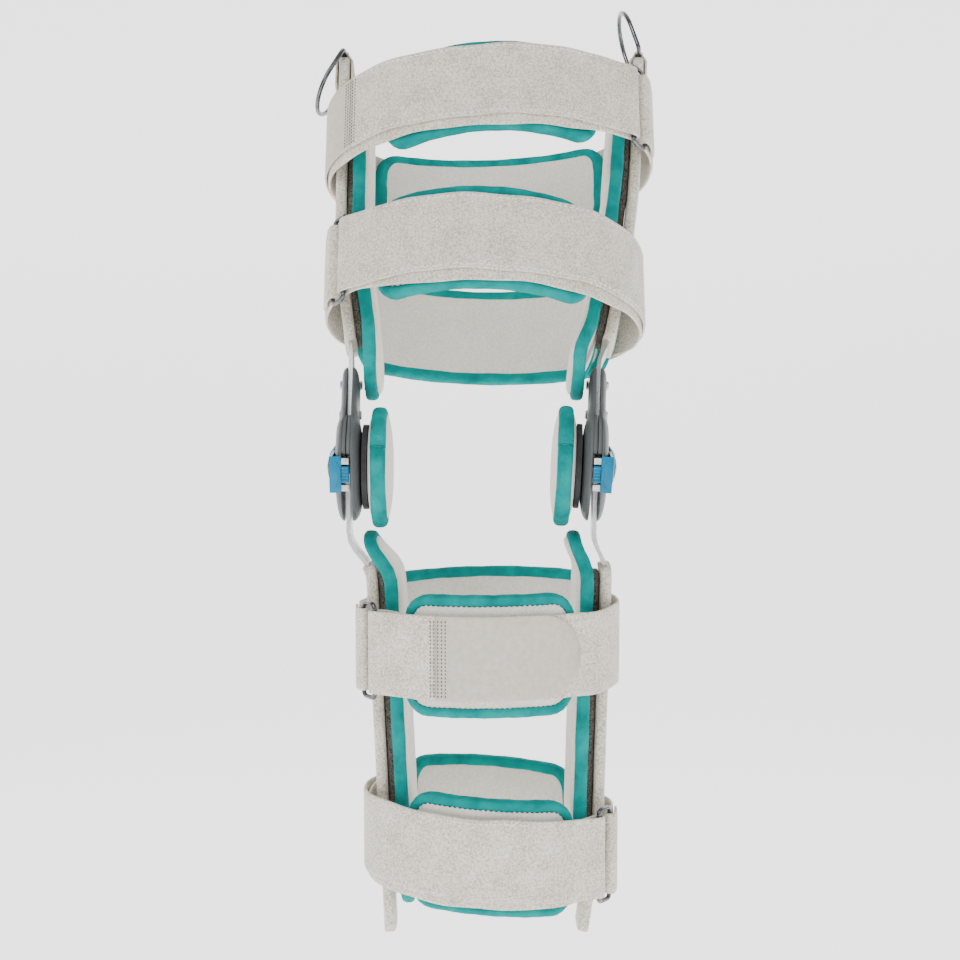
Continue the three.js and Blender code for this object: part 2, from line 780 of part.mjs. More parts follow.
// A cloth loop round the D-ring's straight bar, sewn to both faces of the sleeve's top
function ringLoop(where) {
  const line = uprightLine('upper', where);
  const middle = lineX(line, upperSleeveEnd);
  const lean = Math.atan2(middle - lineX(line, upperSleeveEnd - loopLap), loopLap);
  const leg = sleeveHalf + 2 * gap + loopThickness / 2;
  const radius = dRingWire / 2 + boreGap + loopThickness / 2;
  const points = [new THREE.Vector2(leg, upperSleeveEnd - loopLap), new THREE.Vector2(leg, upperSleeveEnd + gap)];
  for (let i = 0; i <= 8; i += 1) {
    const angle = Math.PI * i / 8;
    points.push(new THREE.Vector2(radius * Math.cos(angle), ringSeat + radius * Math.sin(angle)));
  }
  points.push(new THREE.Vector2(-leg, upperSleeveEnd + gap), new THREE.Vector2(-leg, upperSleeveEnd - loopLap));
  const flat = ribbon(points, loopThickness, () => 0, points.map(() => loopWidth / 2));
  flat.rotateX(Math.PI / 2);
  flat.translate(0, 0, -upperSleeveEnd);
  flat.rotateY(lean);
  return flat.translate(middle, 0, upperSleeveEnd);
}

function dRing(where, tip) {
  const line = uprightLine('upper', where);
  const half = dRingWidth / 2;
  const straight = dRingReach - half;
  const path = [new THREE.Vector2(0, 0), new THREE.Vector2(half - 2, 0), new THREE.Vector2(half, 2)];
  for (let i = 0; i <= 12; i += 1) {
    const angle = Math.PI * i / 12;
    path.push(new THREE.Vector2(half * Math.cos(angle), straight + half * Math.sin(angle)));
  }
  path.push(new THREE.Vector2(-half, 2), new THREE.Vector2(-half + 2, 0));
  const rings = path.map((point, i) => {
    const before = path[(i + path.length - 1) % path.length];
    const after = path[(i + 1) % path.length];
    const normal = new THREE.Vector2(after.y - before.y, before.x - after.x).normalize();
    return Array.from({ length: wireSides }, (_, k) => {
      const angle = 2 * Math.PI * k / wireSides;
      const out = dRingWire / 2 * Math.cos(angle);
      return new THREE.Vector3(dRingWire / 2 * Math.sin(angle), point.x + out * normal.x, point.y + out * normal.y);
    });
  });
  const wire = skin(rings, true);
  wire.rotateY(radians(tip));
  return wire.translate(lineX(line, upperSleeveEnd), 0, ringSeat);
}

// The assembly

for (const where of ['left', 'right']) {
  const side = sideOf(where);
  addMesh(limbs.upper, `upper_bar_${where}`, upperBar(where), aluminium());
  addMesh(limbs.lower, `lower_bar_${where}`, lowerBar(where), aluminium());
  addMesh(limbs.upper, `upper_sleeve_${where}`, sleeve('upper', where), plush());
  addMesh(limbs.lower, `lower_sleeve_${where}`, sleeve('lower', where), plush());
  addMesh(limbs.upper, `upper_side_pad_${where}`, sidePad('upper', where), padCloth());
  addMesh(limbs.lower, `lower_side_pad_${where}`, sidePad('lower', where), padCloth());
  addMesh(limbs.upper, `ring_loop_${where}`, ringLoop(where), plush());
  addMesh(limbs.upper, `d_ring_${where}`, dRing(where, side < 0 ? leftRingTip : rightRingTip), steel());

  const hinge = hingeGroup(where);
  addMesh(hinge, `hinge_outer_shell_${where}`, hingeShell(where, 1), greyPlastic());
  addMesh(hinge, `hinge_inner_shell_${where}`, hingeShell(where, -1), greyPlastic());
  const pinRows = [[0, -headInner], [pinRadius, -headInner], [pinRadius, headOuter], [0, headOuter]];
  addMesh(hinge, `hinge_pin_${where}`, turned(pinRows, side), steel());
  addMesh(hinge, `rivet_low_${where}`, rivet(where, lowerRivet), steel());
  addMesh(hinge, `rivet_high_${where}`, rivet(where, upperRivet), steel());
  addMesh(hinge, `condyle_pad_${where}`, condylePad(where), padCloth());

  const dial = new THREE.Group();
  dial.rotation.x = radians(dialAngle);
  hinge.add(dial);
  addMesh(dial, `range_dial_${where}`, rangeDial(where), bluePlastic());
  addMesh(dial, `dial_screw_${where}`, dialScrew(where), steel());
  addMesh(dial, `stop_slider_${where}`, stopSlider(where), bluePlastic());
  addMesh(dial, `stop_block_high_${where}`, stopBlock(where, 1), steel());
  addMesh(dial, `stop_block_low_${where}`, stopBlock(where, -1), steel());
}

for (const row of strapRows) {
  const limb = limbs[row.limb];
  addMesh(limb, `strap_${row.name}`, strap(row), plush());
  addMesh(limb, `hook_tab_${row.name}`, hookTab(row), weave());
  addMesh(limb, `strap_ring_${row.name}`, strapRing(row), steel());
  addMesh(limb, `front_pad_${row.name}`, legPad(row, 0, frontPadSpread), padCloth());
  addMesh(limb, `back_pad_${row.name}`, legPad(row, 180, backPadSpread), padCloth());
}

export default group;
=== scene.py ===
import math

import bmesh
import bpy
import numpy as np
from mathutils import Matrix, Vector


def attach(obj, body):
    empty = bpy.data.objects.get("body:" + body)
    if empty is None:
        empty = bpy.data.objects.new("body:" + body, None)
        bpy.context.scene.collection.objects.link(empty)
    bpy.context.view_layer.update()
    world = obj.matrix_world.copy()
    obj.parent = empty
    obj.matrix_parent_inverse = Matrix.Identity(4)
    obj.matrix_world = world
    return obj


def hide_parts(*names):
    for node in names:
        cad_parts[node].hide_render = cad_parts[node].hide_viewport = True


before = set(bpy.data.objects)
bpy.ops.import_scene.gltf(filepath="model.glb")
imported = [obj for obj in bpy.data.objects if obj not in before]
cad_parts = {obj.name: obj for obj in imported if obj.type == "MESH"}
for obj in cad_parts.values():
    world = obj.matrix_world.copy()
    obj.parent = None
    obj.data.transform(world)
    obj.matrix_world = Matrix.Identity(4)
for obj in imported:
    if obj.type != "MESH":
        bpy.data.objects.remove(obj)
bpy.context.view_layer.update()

# Lengths are in metres, and those of the brace are written in millimetres times MM
MM = 0.001

# Stance and uprights
THIGH_LEAN = math.radians(-20)
CALF_LEAN = math.radians(5)
RIGHT_HINGE_TILT = math.radians(3)
HALF_SPAN = 75 * MM
BAR_LENGTH = {"upper": 272 * MM, "lower": 266 * MM}
BAR_CORNER = 6 * MM
LINE_ROWS = {
    "upper_left": [(0.31, 0.013), (0.5, 0.113), (1.07, 0.125)],
    "upper_right": [(0.3, 0.14), (0.52, 0.3), (0.67, 0.375), (0.86, 0.43), (1.07, 0.46)],
    "lower_left": [(0.235, -0.187), (0.6, -0.244), (1.08, -0.327)],
    "lower_right": [(0.225, 0.09), (0.6, 0.053), (0.85, 0.03), (1.08, -0.09)],
}

# Hinges and dials
NECK_TOP = 62 * MM
HEAD_RADIUS = 33 * MM
SLOT_HALF = 2.7 * MM
HEAD_OUTER = 7.4 * MM
HEAD_INNER = 8.6 * MM
NECK_INSIDE = 1.55 * MM
NECK_OUTSIDE = 5.35 * MM
WEB_DEPTH = 7.5 * MM
WEB_FOOT = 6.5
WEB_TOP = 55
DIAL_ANGLE = math.radians(28)
DIAL_PLATE = 1.6 * MM
DIAL_HUB_HEIGHT = 2.2 * MM
DIAL_RIM = 3 * MM
CONDYLE_RADIUS = 37 * MM
CONDYLE_THICK = 16 * MM
CONDYLE_BACKING = 2.2 * MM

# Straps, rings and layers
STRAP_WIDTH = 50 * MM
STRAP_THICK = 2 * MM
TAB_THICK = 1.6 * MM
RING_LENGTH = 54 * MM
RING_REACH = 15 * MM
RING_WIRE = 2.8 * MM
RING_ANGLE = 57
ANCHOR_TAIL = 16 * MM
LOOP_RADIUS = RING_WIRE / 2 + 0.4 * MM + STRAP_THICK / 2
LAYER_OFFSET = STRAP_THICK + 0.4 * MM
LEG_ROUNDNESS = 2
STRAP_SEAT = 1.1 * MM
STRAPS = {
    "thigh_top": dict(limb="upper", place=0.83, slope=0.043, front=1, back=1.1, ring=1,
                      plush_end=55, tab_end=128, inner_drop=5.5),
    "thigh_low": dict(limb="upper", place=0.435, slope=-0.026, front=1.07, back=1.02, ring=-1,
                      plush_end=96, tab_end=140, inner_drop=6.0),
    "calf_top": dict(limb="lower", place=0.402, slope=0.011, front=0.83, back=1.02, ring=-1,
                     plush_end=-23, tab_end=41, inner_drop=1.0),
    "calf_low": dict(limb="lower", place=0.86, slope=-0.075, front=0.75, back=0.85, ring=1,
                     plush_end=96, tab_end=140, inner_drop=5.0),
}

# Sleeves and top rings
SLEEVE_HALF = 3.75 * MM
SLEEVE_WIDTH = 32 * MM
SLEEVE_STARTS = {"upper": 80 * MM, "lower": 60 * MM}
SLEEVE_ENDS = {"upper": 281 * MM, "lower": 286 * MM}
HOOK_STRIP_THICK = 4.2 * MM
HOOK_STRIP_WIDTH = 24 * MM
HOOK_STRIP_INSET = 20 * MM
D_RING_WIDTH = 40 * MM
D_RING_REACH = 38 * MM
D_RING_WIRE = 3 * MM
RING_TIPS = {"left": -152, "right": -16}
RING_LIFT = 4 * MM
LOOP_WIDTH = 24 * MM
LOOP_THICK = 1.6 * MM
LOOP_LAP = 18 * MM

# Pads, their heights and droops as shares of the strap's width
PADS = {
    "thigh_top": dict(height=1.24, droop=0.15),
    "thigh_low": dict(height=1.34, droop=0.08),
    "calf_top": dict(height=1.46, droop=0.0),
    "calf_low": dict(height=1.42, droop=0.0),
}
PAD_THICK = 9 * MM
PAD_EDGE = 3.6 * MM
STATION_STEP = 17 * MM
FRONT_SPREAD = 43
BACK_SPREAD = 52
SIDE_PAD_OFFSET = 14.25 * MM
SIDE_PAD_THICK = 12 * MM
SIDE_PAD_WIDTH = 64 * MM
BINDING_BEADS = {"leg": 7.6 * MM, "side": 7 * MM, "condyle": 9 * MM}
BINDING_DEPTHS = {"leg": PAD_THICK - 0.6 * MM, "side": 8 * MM, "condyle": 9.4 * MM}
CUSHION_MARGINS = {"leg": 3 * MM, "side": 3 * MM, "condyle": 1.5 * MM}
SIDE_PAD_RUNS = {"upper": (48 * MM, 252 * MM), "lower": (39.5 * MM, 270 * MM)}

LIMB_TURN = {
    "upper": Matrix.Rotation(THIGH_LEAN, 4, "X"),
    "lower": Matrix.Rotation(CALF_LEAN, 4, "X"),
}
LIMB_SIGN = {"upper": 1, "lower": -1}
LIMB_BODY = {"upper": "thigh", "lower": "calf"}
SIDES = {"left": -1, "right": 1}


class Shade:
    """A shader socket: an expression on it adds the Math nodes"""

    def __init__(self, graph, socket):
        self.graph = graph
        self.socket = socket

    def maths(self, operation, first, second=None):
        inputs = {0: first} if second is None else {0: first, 1: second}
        return self.graph.node("ShaderNodeMath", {"operation": operation}, inputs)

    def __add__(self, other):
        return self.maths("ADD", self, other)

    def __radd__(self, other):
        return self.maths("ADD", other, self)

    def __sub__(self, other):
        return self.maths("SUBTRACT", self, other)

    def __rsub__(self, other):
        return self.maths("SUBTRACT", other, self)

    def __mul__(self, other):
        return self.maths("MULTIPLY", self, other)

    def __rmul__(self, other):
        return self.maths("MULTIPLY", other, self)

    def sine(self):
        return self.maths("SINE", self)


class Finish:
    """A material with its nodes"""

    def __init__(self, name, roughness, metallic=0.0):
        self.material = bpy.data.materials.new(name)
        self.material.use_nodes = True
        self.tree = self.material.node_tree
        self.shader = self.tree.nodes["Principled BSDF"]
        self.shader.inputs["Roughness"].default_value = roughness
        self.shader.inputs["Metallic"].default_value = metallic

    def node(self, kind, settings=None, inputs=None, output=0):
        """Any node: its type, its settings, then the values or links of its sockets"""
        made = self.tree.nodes.new(kind)
        for key, value in (settings or {}).items():
            if key == "stops":
                self.set_stops(made.color_ramp, value)
            else:
                setattr(made, key, value)
        for key, value in (inputs or {}).items():
            self.put(made.inputs[key], value)
        return Shade(self, made.outputs[output])

    def set_stops(self, ramp, stops):
        while len(ramp.elements) < len(stops):
            ramp.elements.new(1.0)
        for element, (place, colour) in zip(ramp.elements, stops):
            element.position = place
            element.color = (*colour, 1.0)

    def put(self, socket, value):
        if isinstance(value, Shade):
            self.tree.links.new(value.socket, socket)
        else:
            socket.default_value = value

    def set(self, socket, value):
        self.put(self.shader.inputs[socket], value)

    def coords(self, kind="Object"):
        return self.node("ShaderNodeTexCoord", output=kind)

    def noise(self, scale, detail=2.0, coords=None, stretch=None):
        where = coords or self.coords()
        if stretch:
            where = self.node("ShaderNodeMapping", inputs={"Vector": where, "Scale": stretch})
        return self.node("ShaderNodeTexNoise", inputs={"Vector": where, "Scale": scale, "Detail": detail})

    def ramp(self, factor, stops):
        return self.node("ShaderNodeValToRGB", {"stops": stops}, {"Fac": factor})

    def bump(self, height, distance, strength=1.0):
        inputs = {"Height": height, "Distance": distance, "Strength": strength}
        self.set("Normal", self.node("ShaderNodeBump", inputs=inputs))

    def axes(self, coords):
        split = self.node("ShaderNodeSeparateXYZ", inputs={"Vector": coords})
        outputs = split.socket.node.outputs
        return [Shade(self, outputs[i]) for i in range(3)]


def shade_of(hex_colour):
    """A linear colour from a screen colour"""
    parts = [int(hex_colour[i:i + 2], 16) / 255 for i in (0, 2, 4)]
    return tuple(((p + 0.055) / 1.055) ** 2.4 if p > 0.04045 else p / 12.92 for p in parts)


# Materials

def brushed_plush():
    finish = Finish("brushed_plush", 0.95)
    fleck = finish.noise(850, 3.0)
    cloud = finish.noise(60, 2.0)
    colour = finish.ramp(fleck + 0.25 * cloud - 0.12, [
        (0.34, shade_of("b3ab9b")), (0.5, shade_of("d8d0c2")), (0.66, shade_of("efe9dc"))])
    finish.set("Base Color", colour)
    finish.shader.inputs["Sheen Weight"].default_value = 0.25
    finish.shader.inputs["Sheen Roughness"].default_value = 0.5
    finish.bump(finish.noise(900, 3.0) + 0.6 * fleck, 0.0012, 0.55)
    return finish.material


def pile_cloth():
    finish = Finish("pile_cloth", 0.9)
    fleck = finish.noise(800, 2.0)
    finish.set("Base Color", finish.ramp(fleck + 0.3 * finish.noise(35) - 0.15, [
        (0.3, shade_of("dad4c9")), (0.7, shade_of("efebe3"))]))
    finish.shader.inputs["Sheen Weight"].default_value = 0.2
    finish.bump(fleck, 0.0006, 0.4)
    return finish.material


def teal_twill():
    finish = Finish("teal_twill", 0.8)
    finish.set("Specular IOR Level", 0.1)
    along, across, _ = finish.axes(finish.coords("UV"))
    rib = (along * 5200 + across * 5200).sine()
    worn = finish.noise(90, 3.0)
    finish.set("Base Color", finish.ramp(worn + 0.10 * rib, [
        (0.15, shade_of("006f6c")), (0.5, shade_of("009390")), (0.85, shade_of("00a8a2"))]))
    finish.bump(rib + 2.0 * finish.noise(260, 2.0), 0.00045, 0.6)
    return finish.material


def hook_tape():
    finish = Finish("hook_tape", 0.85)
    along, across, _ = finish.axes(finish.coords("UV"))
    weave = (along * 4200).sine() * (across * 4200).sine()
    finish.set("Base Color", finish.ramp(0.5 + 0.28 * weave + 0.5 * (finish.noise(300, 2.0) - 0.5), [
        (0.2, shade_of("bdb6a8")), (0.8, shade_of("e6e0d4"))]))
    finish.bump(weave, 0.0004, 0.6)
    return finish.material


def dark_hook():
    finish = Finish("dark_hook", 0.9)
    fleck = finish.noise(1100, 3.0)
    finish.set("Base Color", finish.ramp(fleck, [(0.35, shade_of("2b2a28")), (0.7, shade_of("7a776f"))]))
    finish.bump(fleck, 0.0012, 0.8)
    return finish.material


def moulded_grey():
    finish = Finish("moulded_grey", 0.45)
    grain = finish.noise(1400, 2.0)
    finish.set("Base Color", finish.ramp(finish.noise(25) + 0.1 * grain, [
        (0.3, shade_of("424647")), (0.8, shade_of("595d5e"))]))
    finish.set("Roughness", 0.38 + 0.16 * finish.noise(120))
    finish.bump(grain, 0.0001, 0.25)
    return finish.material


def moulded_blue():
    finish = Finish("moulded_blue", 0.32)
    finish.set("Base Color", finish.ramp(finish.noise(70, 2.0), [
        (0.3, shade_of("006688")), (0.75, shade_of("0083ac"))]))
    finish.set("Specular IOR Level", 0.25)
    finish.bump(finish.noise(1500, 2.0), 0.0001, 0.15)
    return finish.material


def rolled_aluminium():
    finish = Finish("rolled_aluminium", 0.3, 1.0)
    lines = finish.noise(1.0, 3.0, stretch=(3000, 3000, 60))
    finish.set("Base Color", finish.ramp(lines, [(0.3, shade_of("9ea1a3")), (0.7, shade_of("d6d8d9"))]))
    finish.set("Roughness", 0.24 + 0.16 * lines)
    finish.bump(lines, 0.0001, 0.3)
    return finish.material


def dark_chrome():
    finish = Finish("dark_chrome", 0.16, 1.0)
    smear = finish.noise(150, 3.0)
    finish.set("Base Color", finish.ramp(smear, [(0.3, shade_of("4c4e51")), (0.7, shade_of("7c7e81"))]))
    finish.set("Roughness", 0.1 + 0.18 * smear)
    return finish.material


def plain_steel():
    finish = Finish("plain_steel", 0.3, 1.0)
    smear = finish.noise(400, 3.0)
    finish.set("Base Color", finish.ramp(smear, [(0.3, shade_of("a7a9ab")), (0.7, shade_of("dcdddd"))]))
    finish.set("Roughness", 0.22 + 0.2 * smear)
    return finish.material


def black_rubber():
    finish = Finish("black_rubber", 0.6)
    finish.set("Base Color", finish.ramp(finish.noise(300), [
        (0.3, shade_of("121314")), (0.7, shade_of("26282a"))]))
    return finish.material


def sewing_thread(name, dark, light):
    finish = Finish(name, 0.6)
    finish.set("Base Color", finish.ramp(finish.noise(1800, 2.0), [
        (0.3, shade_of(dark)), (0.7, shade_of(light))]))
    return finish.material


LOOKS = {
    "plush": brushed_plush(),
    "pile": pile_cloth(),
    "twill": teal_twill(),
    "tape": hook_tape(),
    "hooks": dark_hook(),
    "grey": moulded_grey(),
    "blue": moulded_blue(),
    "bar": rolled_aluminium(),
    "chrome": dark_chrome(),
    "steel": plain_steel(),
    "rubber": black_rubber(),
    "pale_thread": sewing_thread("pale_thread", "f4f2ee", "ffffff"),
    "dark_thread": sewing_thread("dark_thread", "2f2e2b", "5a5852"),
    "teal_thread": sewing_thread("teal_thread", "003a3b", "005a5b"),
}

# Meshes

def finish_piece(name, bm, look, body, replaced=(), smooth=True):
    """Turns a bmesh into a piece of the object"""
    mesh = bpy.data.meshes.new(name)
    bm.to_mesh(mesh)
    bm.free()
    piece = bpy.data.objects.new(name, mesh)
    bpy.context.collection.objects.link(piece)
    mesh.materials.append(LOOKS[look])
    mesh.shade_smooth() if smooth else mesh.shade_flat()
    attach(piece, body)
    if replaced:
        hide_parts(*replaced)
    return piece


def sweep(bm, rings, along=None, across=None, closed=False, capped=True):
    """Draws the first ring and extrudes it through the others. along and across are the lengths that
    the UV map takes from each ring and each point of the section. Returns the cell of each vertex."""
    uv = bm.loops.layers.uv.verify() if along else None
    count = len(rings[0])
    verts = [bm.verts.new(point) for point in rings[0]]
    edges = [bm.edges.new((verts[j], verts[(j + 1) % count])) for j in range(count)]
    first = edges
    cell = {vert: (0, j) for j, vert in enumerate(verts)}
    for i, ring in enumerate(rings[1:], start=1):
        made = bmesh.ops.extrude_edge_only(bm, edges=edges)["geom"]
        fresh = {item for item in made if isinstance(item, bmesh.types.BMVert)}
        following = []
        for j, vert in enumerate(verts):
            other = next(e.other_vert(vert) for e in vert.link_edges if e.other_vert(vert) in fresh)
            other.co = ring[j]
            cell[other] = (i, j)
            following.append(other)
        verts = following
        edges = [bm.edges.get((verts[j], verts[(j + 1) % count])) for j in range(count)]
    if closed:
        bmesh.ops.bridge_loops(bm, edges=edges + first)
    elif capped:
        bmesh.ops.contextual_create(bm, geom=edges)
        bmesh.ops.contextual_create(bm, geom=first)
    for face in bm.faces if uv else []:
        spots = [cell.get(loop.vert) for loop in face.loops]
        if None in spots:
            continue
        rows = {spot[0] for spot in spots}
        columns = {spot[1] for spot in spots}
        for loop, (i, j) in zip(face.loops, spots):
            row = len(rings) if closed and i == 0 and len(rings) - 1 in rows else i
            column = count if j == 0 and count - 1 in columns else j
            loop[uv].uv = (along[row], across[column])
    bmesh.ops.recalc_face_normals(bm, faces=bm.faces)
    return cell


def lengths_of(points, closed=False):
    """Distances along a line of points, with one more for the way back if it is closed"""
    ring = list(points) + ([points[0]] if closed else [])
    total = [0.0]
    for a, b in zip(ring, ring[1:]):
        total.append(total[-1] + (Vector(b) - Vector(a)).length)
    return total


def soft_section(width, height, count, power):
    """A rounded section: points round a squared-off ellipse"""
    points = []
    for k in range(count):
        angle = 2 * math.pi * k / count
        c, s = math.cos(angle), math.sin(angle)
        points.append((
            width / 2 * math.copysign(abs(c) ** (2 / power), c),
            height / 2 * math.copysign(abs(s) ** (2 / power), s)))
    return points


def tube(path, section, up, closed=False, scales=None):
    """Rings of a section along a path. up gives the direction of the section's second axis."""
    rings = []
    last = len(path) - 1
    for i, point in enumerate(path):
        before = path[i - 1] if closed or i else path[0]
        after = path[(i + 1) % len(path)] if closed or i < last else path[last]
        forward = (after - before).normalized()
        rise = up[i] if isinstance(up, list) else up
        side = forward.cross(rise).normalized()
        rise = side.cross(forward).normalized()
        scale = scales[i] if scales else 1.0
        rings.append([point + side * a * scale + rise * b * scale for a, b in section])
    return rings


def add_tube(bm, path, section, up, closed=False, scales=None):
    across = lengths_of([Vector((a, b, 0)) for a, b in section], True)
    part = bmesh.new()
    sweep(part, tube(path, section, up, closed, scales), lengths_of(path, closed), across, closed)
    mesh = bpy.data.meshes.new("part")
    part.to_mesh(mesh)
    part.free()
    bm.from_mesh(mesh)
    bpy.data.meshes.remove(mesh)
    return bm


def swept_piece(name, path, section, up, look, body, replaced=(), closed=False, scales=None):
    bm = add_tube(bmesh.new(), path, section, up, closed, scales)
    return finish_piece(name, bm, look, body, replaced)


def stitch_row(bm, path, normals, length, space, radius, lift):
    """Short rounded stitches laid along a line"""
    total = lengths_of(path)
    count = int(total[-1] / space)
    for k in range(count):
        start = (k + 0.5) * space - length / 2
        ends = []
        for distance in (start, start + length / 2, start + length):
            i = min(max(int(np.searchsorted(total, distance)), 1), len(path) - 1)
            share = (distance - total[i - 1]) / max(total[i] - total[i - 1], 1e-9)
            ends.append((path[i - 1].lerp(path[i], share), normals[i - 1].lerp(normals[i], share).normalized()))
        forward = (ends[2][0] - ends[0][0]).normalized()
        normal = ends[1][1]
        side = forward.cross(normal).normalized()
        middle = ends[1][0] + normal * lift
        basis = Matrix((
            (forward.x, side.x, normal.x, middle.x),
            (forward.y, side.y, normal.y, middle.y),
            (forward.z, side.z, normal.z, middle.z),
            (0, 0, 0, 1)))
        shape = Matrix.Diagonal((length / 2, radius, radius, 1))
        bmesh.ops.create_icosphere(bm, subdivisions=1, radius=1.0, matrix=basis @ shape)
    return bm


def turned(profile, steps=48):
    """Spins a closed profile of (radius, x) about the X axis"""
    bm = bmesh.new()
    verts = [bm.verts.new((x, radius, 0)) for radius, x in profile]
    edges = [bm.edges.new((verts[k], verts[(k + 1) % len(verts)])) for k in range(len(verts))]
    bmesh.ops.spin(bm, geom=verts + edges, cent=(0, 0, 0), axis=(1, 0, 0), dvec=(0, 0, 0),
                   angle=2 * math.pi, steps=steps, use_merge=True, use_duplicate=False)
    bmesh.ops.remove_doubles(bm, verts=bm.verts, dist=1e-6)
    bmesh.ops.recalc_face_normals(bm, faces=bm.faces)
    return bm


# Lines of the uprights and of the straps

def upright_line(limb, where):
    """Points (distance from the hinge, x) of an upright"""
    side = SIDES[where]
    tilt = RIGHT_HINGE_TILT if where == "right" else 0.0
    straight = NECK_TOP + 0.3 * MM + BAR_CORNER if limb == "upper" else HEAD_RADIUS + 2 * BAR_CORNER
    slope = math.tan(tilt) if limb == "upper" else -math.tan(tilt / 3)
    corners = [(0.0, side * HALF_SPAN), (straight, side * HALF_SPAN + slope * straight)]
    for along, out in LINE_ROWS[f"{limb}_{where}"]:
        corners.append((along * BAR_LENGTH[limb], side * HALF_SPAN * (1 + out)))
    points = [Vector(corner) for corner in corners]
    smooth = [points[0]]
    for before, corner, after in zip(points, points[1:], points[2:]):
        a = corner.lerp(before, BAR_CORNER / (corner - before).length)
        b = corner.lerp(after, BAR_CORNER / (after - corner).length)
        for t in (0, 0.25, 0.5, 0.75, 1):
            smooth.append(a.lerp(corner, t).lerp(corner.lerp(b, t), t))
    smooth.append(points[-1])
    return np.array([[p.x for p in smooth], [p.y for p in smooth]])


LINES = {f"{limb}_{where}": upright_line(limb, where) for limb in LIMB_SIGN for where in SIDES}


def line_x(limb, where, along):
    line = LINES[f"{limb}_{where}"]
    if along > line[0, -1]:
        slope = (line[1, -1] - line[1, -2]) / (line[0, -1] - line[0, -2])
        return float(line[1, -1] + slope * (along - line[0, -1]))
    return float(np.interp(along, line[0], line[1]))


def limb_point(limb, x, y, z):
    """A point of a limb's own frame, put in the brace's frame"""
    return (LIMB_TURN[limb] @ Vector((x, y, z))).to_3d()


def hinge_point(where, x, y, z, turn=0.0):
    """A point of a hinge's own frame, or of its dial's when it is turned"""
    tilt = RIGHT_HINGE_TILT if where == "right" else 0.0
    spot = Matrix.Rotation(tilt, 3, "Y") @ (Matrix.Rotation(turn, 3, "X") @ Vector((x, y, z)))
    return limb_point("upper", spot.x + SIDES[where] * HALF_SPAN, spot.y, spot.z)


class LegCurve:
    """The closed line that a strap's first layer follows round the leg"""

    def __init__(self, row):
        self.row = row
        self.limb = row["limb"]
        self.sign = LIMB_SIGN[self.limb]
        self.along = row["place"] * BAR_LENGTH[self.limb]
        shift = self.sign * row["slope"] * HALF_SPAN
        edges = [-STRAP_WIDTH / 2, 0, STRAP_WIDTH / 2]
        left = min(line_x(self.limb, "left", self.along - shift + edge) for edge in edges)
        right = max(line_x(self.limb, "right", self.along + shift + edge) for edge in edges)
        front, back = row["front"] * HALF_SPAN, row["back"] * HALF_SPAN
        corner = (SLEEVE_WIDTH / 2 / min(front, back)) ** LEG_ROUNDNESS
        reach = (right - left) / 2 + SLEEVE_HALF + STRAP_THICK / 2 + STRAP_SEAT
        half = reach / (1 - corner) ** (1 / LEG_ROUNDNESS)
        angle = np.linspace(0, 2 * math.pi, 1441)
        bend = lambda value: np.sign(value) * np.abs(value) ** (2 / LEG_ROUNDNESS)
        depth = np.where(np.cos(angle) > 0, front, back)
        self.middle = (left + right) / 2
        self.x = self.middle + row["ring"] * half * bend(np.sin(angle))
        self.y = -depth * bend(np.cos(angle))
        self.lengths = np.concatenate([[0], np.cumsum(np.hypot(np.diff(self.x), np.diff(self.y)))])
        self.total = float(self.lengths[-1])

    def plan(self, distance):
        wrapped = distance % self.total
        return Vector((float(np.interp(wrapped, self.lengths, self.x)),
                       float(np.interp(wrapped, self.lengths, self.y))))

    def normal(self, distance):
        run = (self.plan(distance + 2 * MM) - self.plan(distance - 2 * MM)).normalized()
        return Vector((run.y, -run.x)) * self.row["ring"]

    def place(self, distance, offset, rise=0.0):
        """A point at a distance round the leg, offset outwards and raised up the leg"""
        spot = self.plan(distance) + self.normal(distance) * offset
        height = self.sign * self.along + self.row["slope"] * (spot.x - self.middle)
        return limb_point(self.limb, spot.x, spot.y, height + rise)

    def outward(self, distance):
        return (self.place(distance, 1 * MM) - self.place(distance, 0)).normalized()

    def distance_at(self, degrees):
        return float(self.lengths[int(round((degrees + 360) % 360 / 360 * 1440))])

    def wrapped_back(self, degrees):
        """The distance of a place that the outer layer reaches going back from the ring"""
        return self.distance_at(-degrees) - (0 if degrees < 0 else self.total)


CURVES = {name: LegCurve(row) for name, row in STRAPS.items()}


def stations(start, end, step):
    count = max(2, int(math.ceil(abs(end - start) / step)))
    return [start + (end - start) * i / count for i in range(count + 1)]


def ease(value, low, high):
    share = min(max((value - low) / (high - low), 0.0), 1.0)
    return share * share * (3 - 2 * share)


# Straps and hook tabs

def edge_wave(distance, shift=0.0):
    """The slight wander of a strap's height as it goes round"""
    slow = math.sin(distance / (14 * MM) + shift)
    quick = math.sin(distance / (6.1 * MM) + 2 * shift)
    return 0.5 * MM * slow + 0.35 * MM * quick


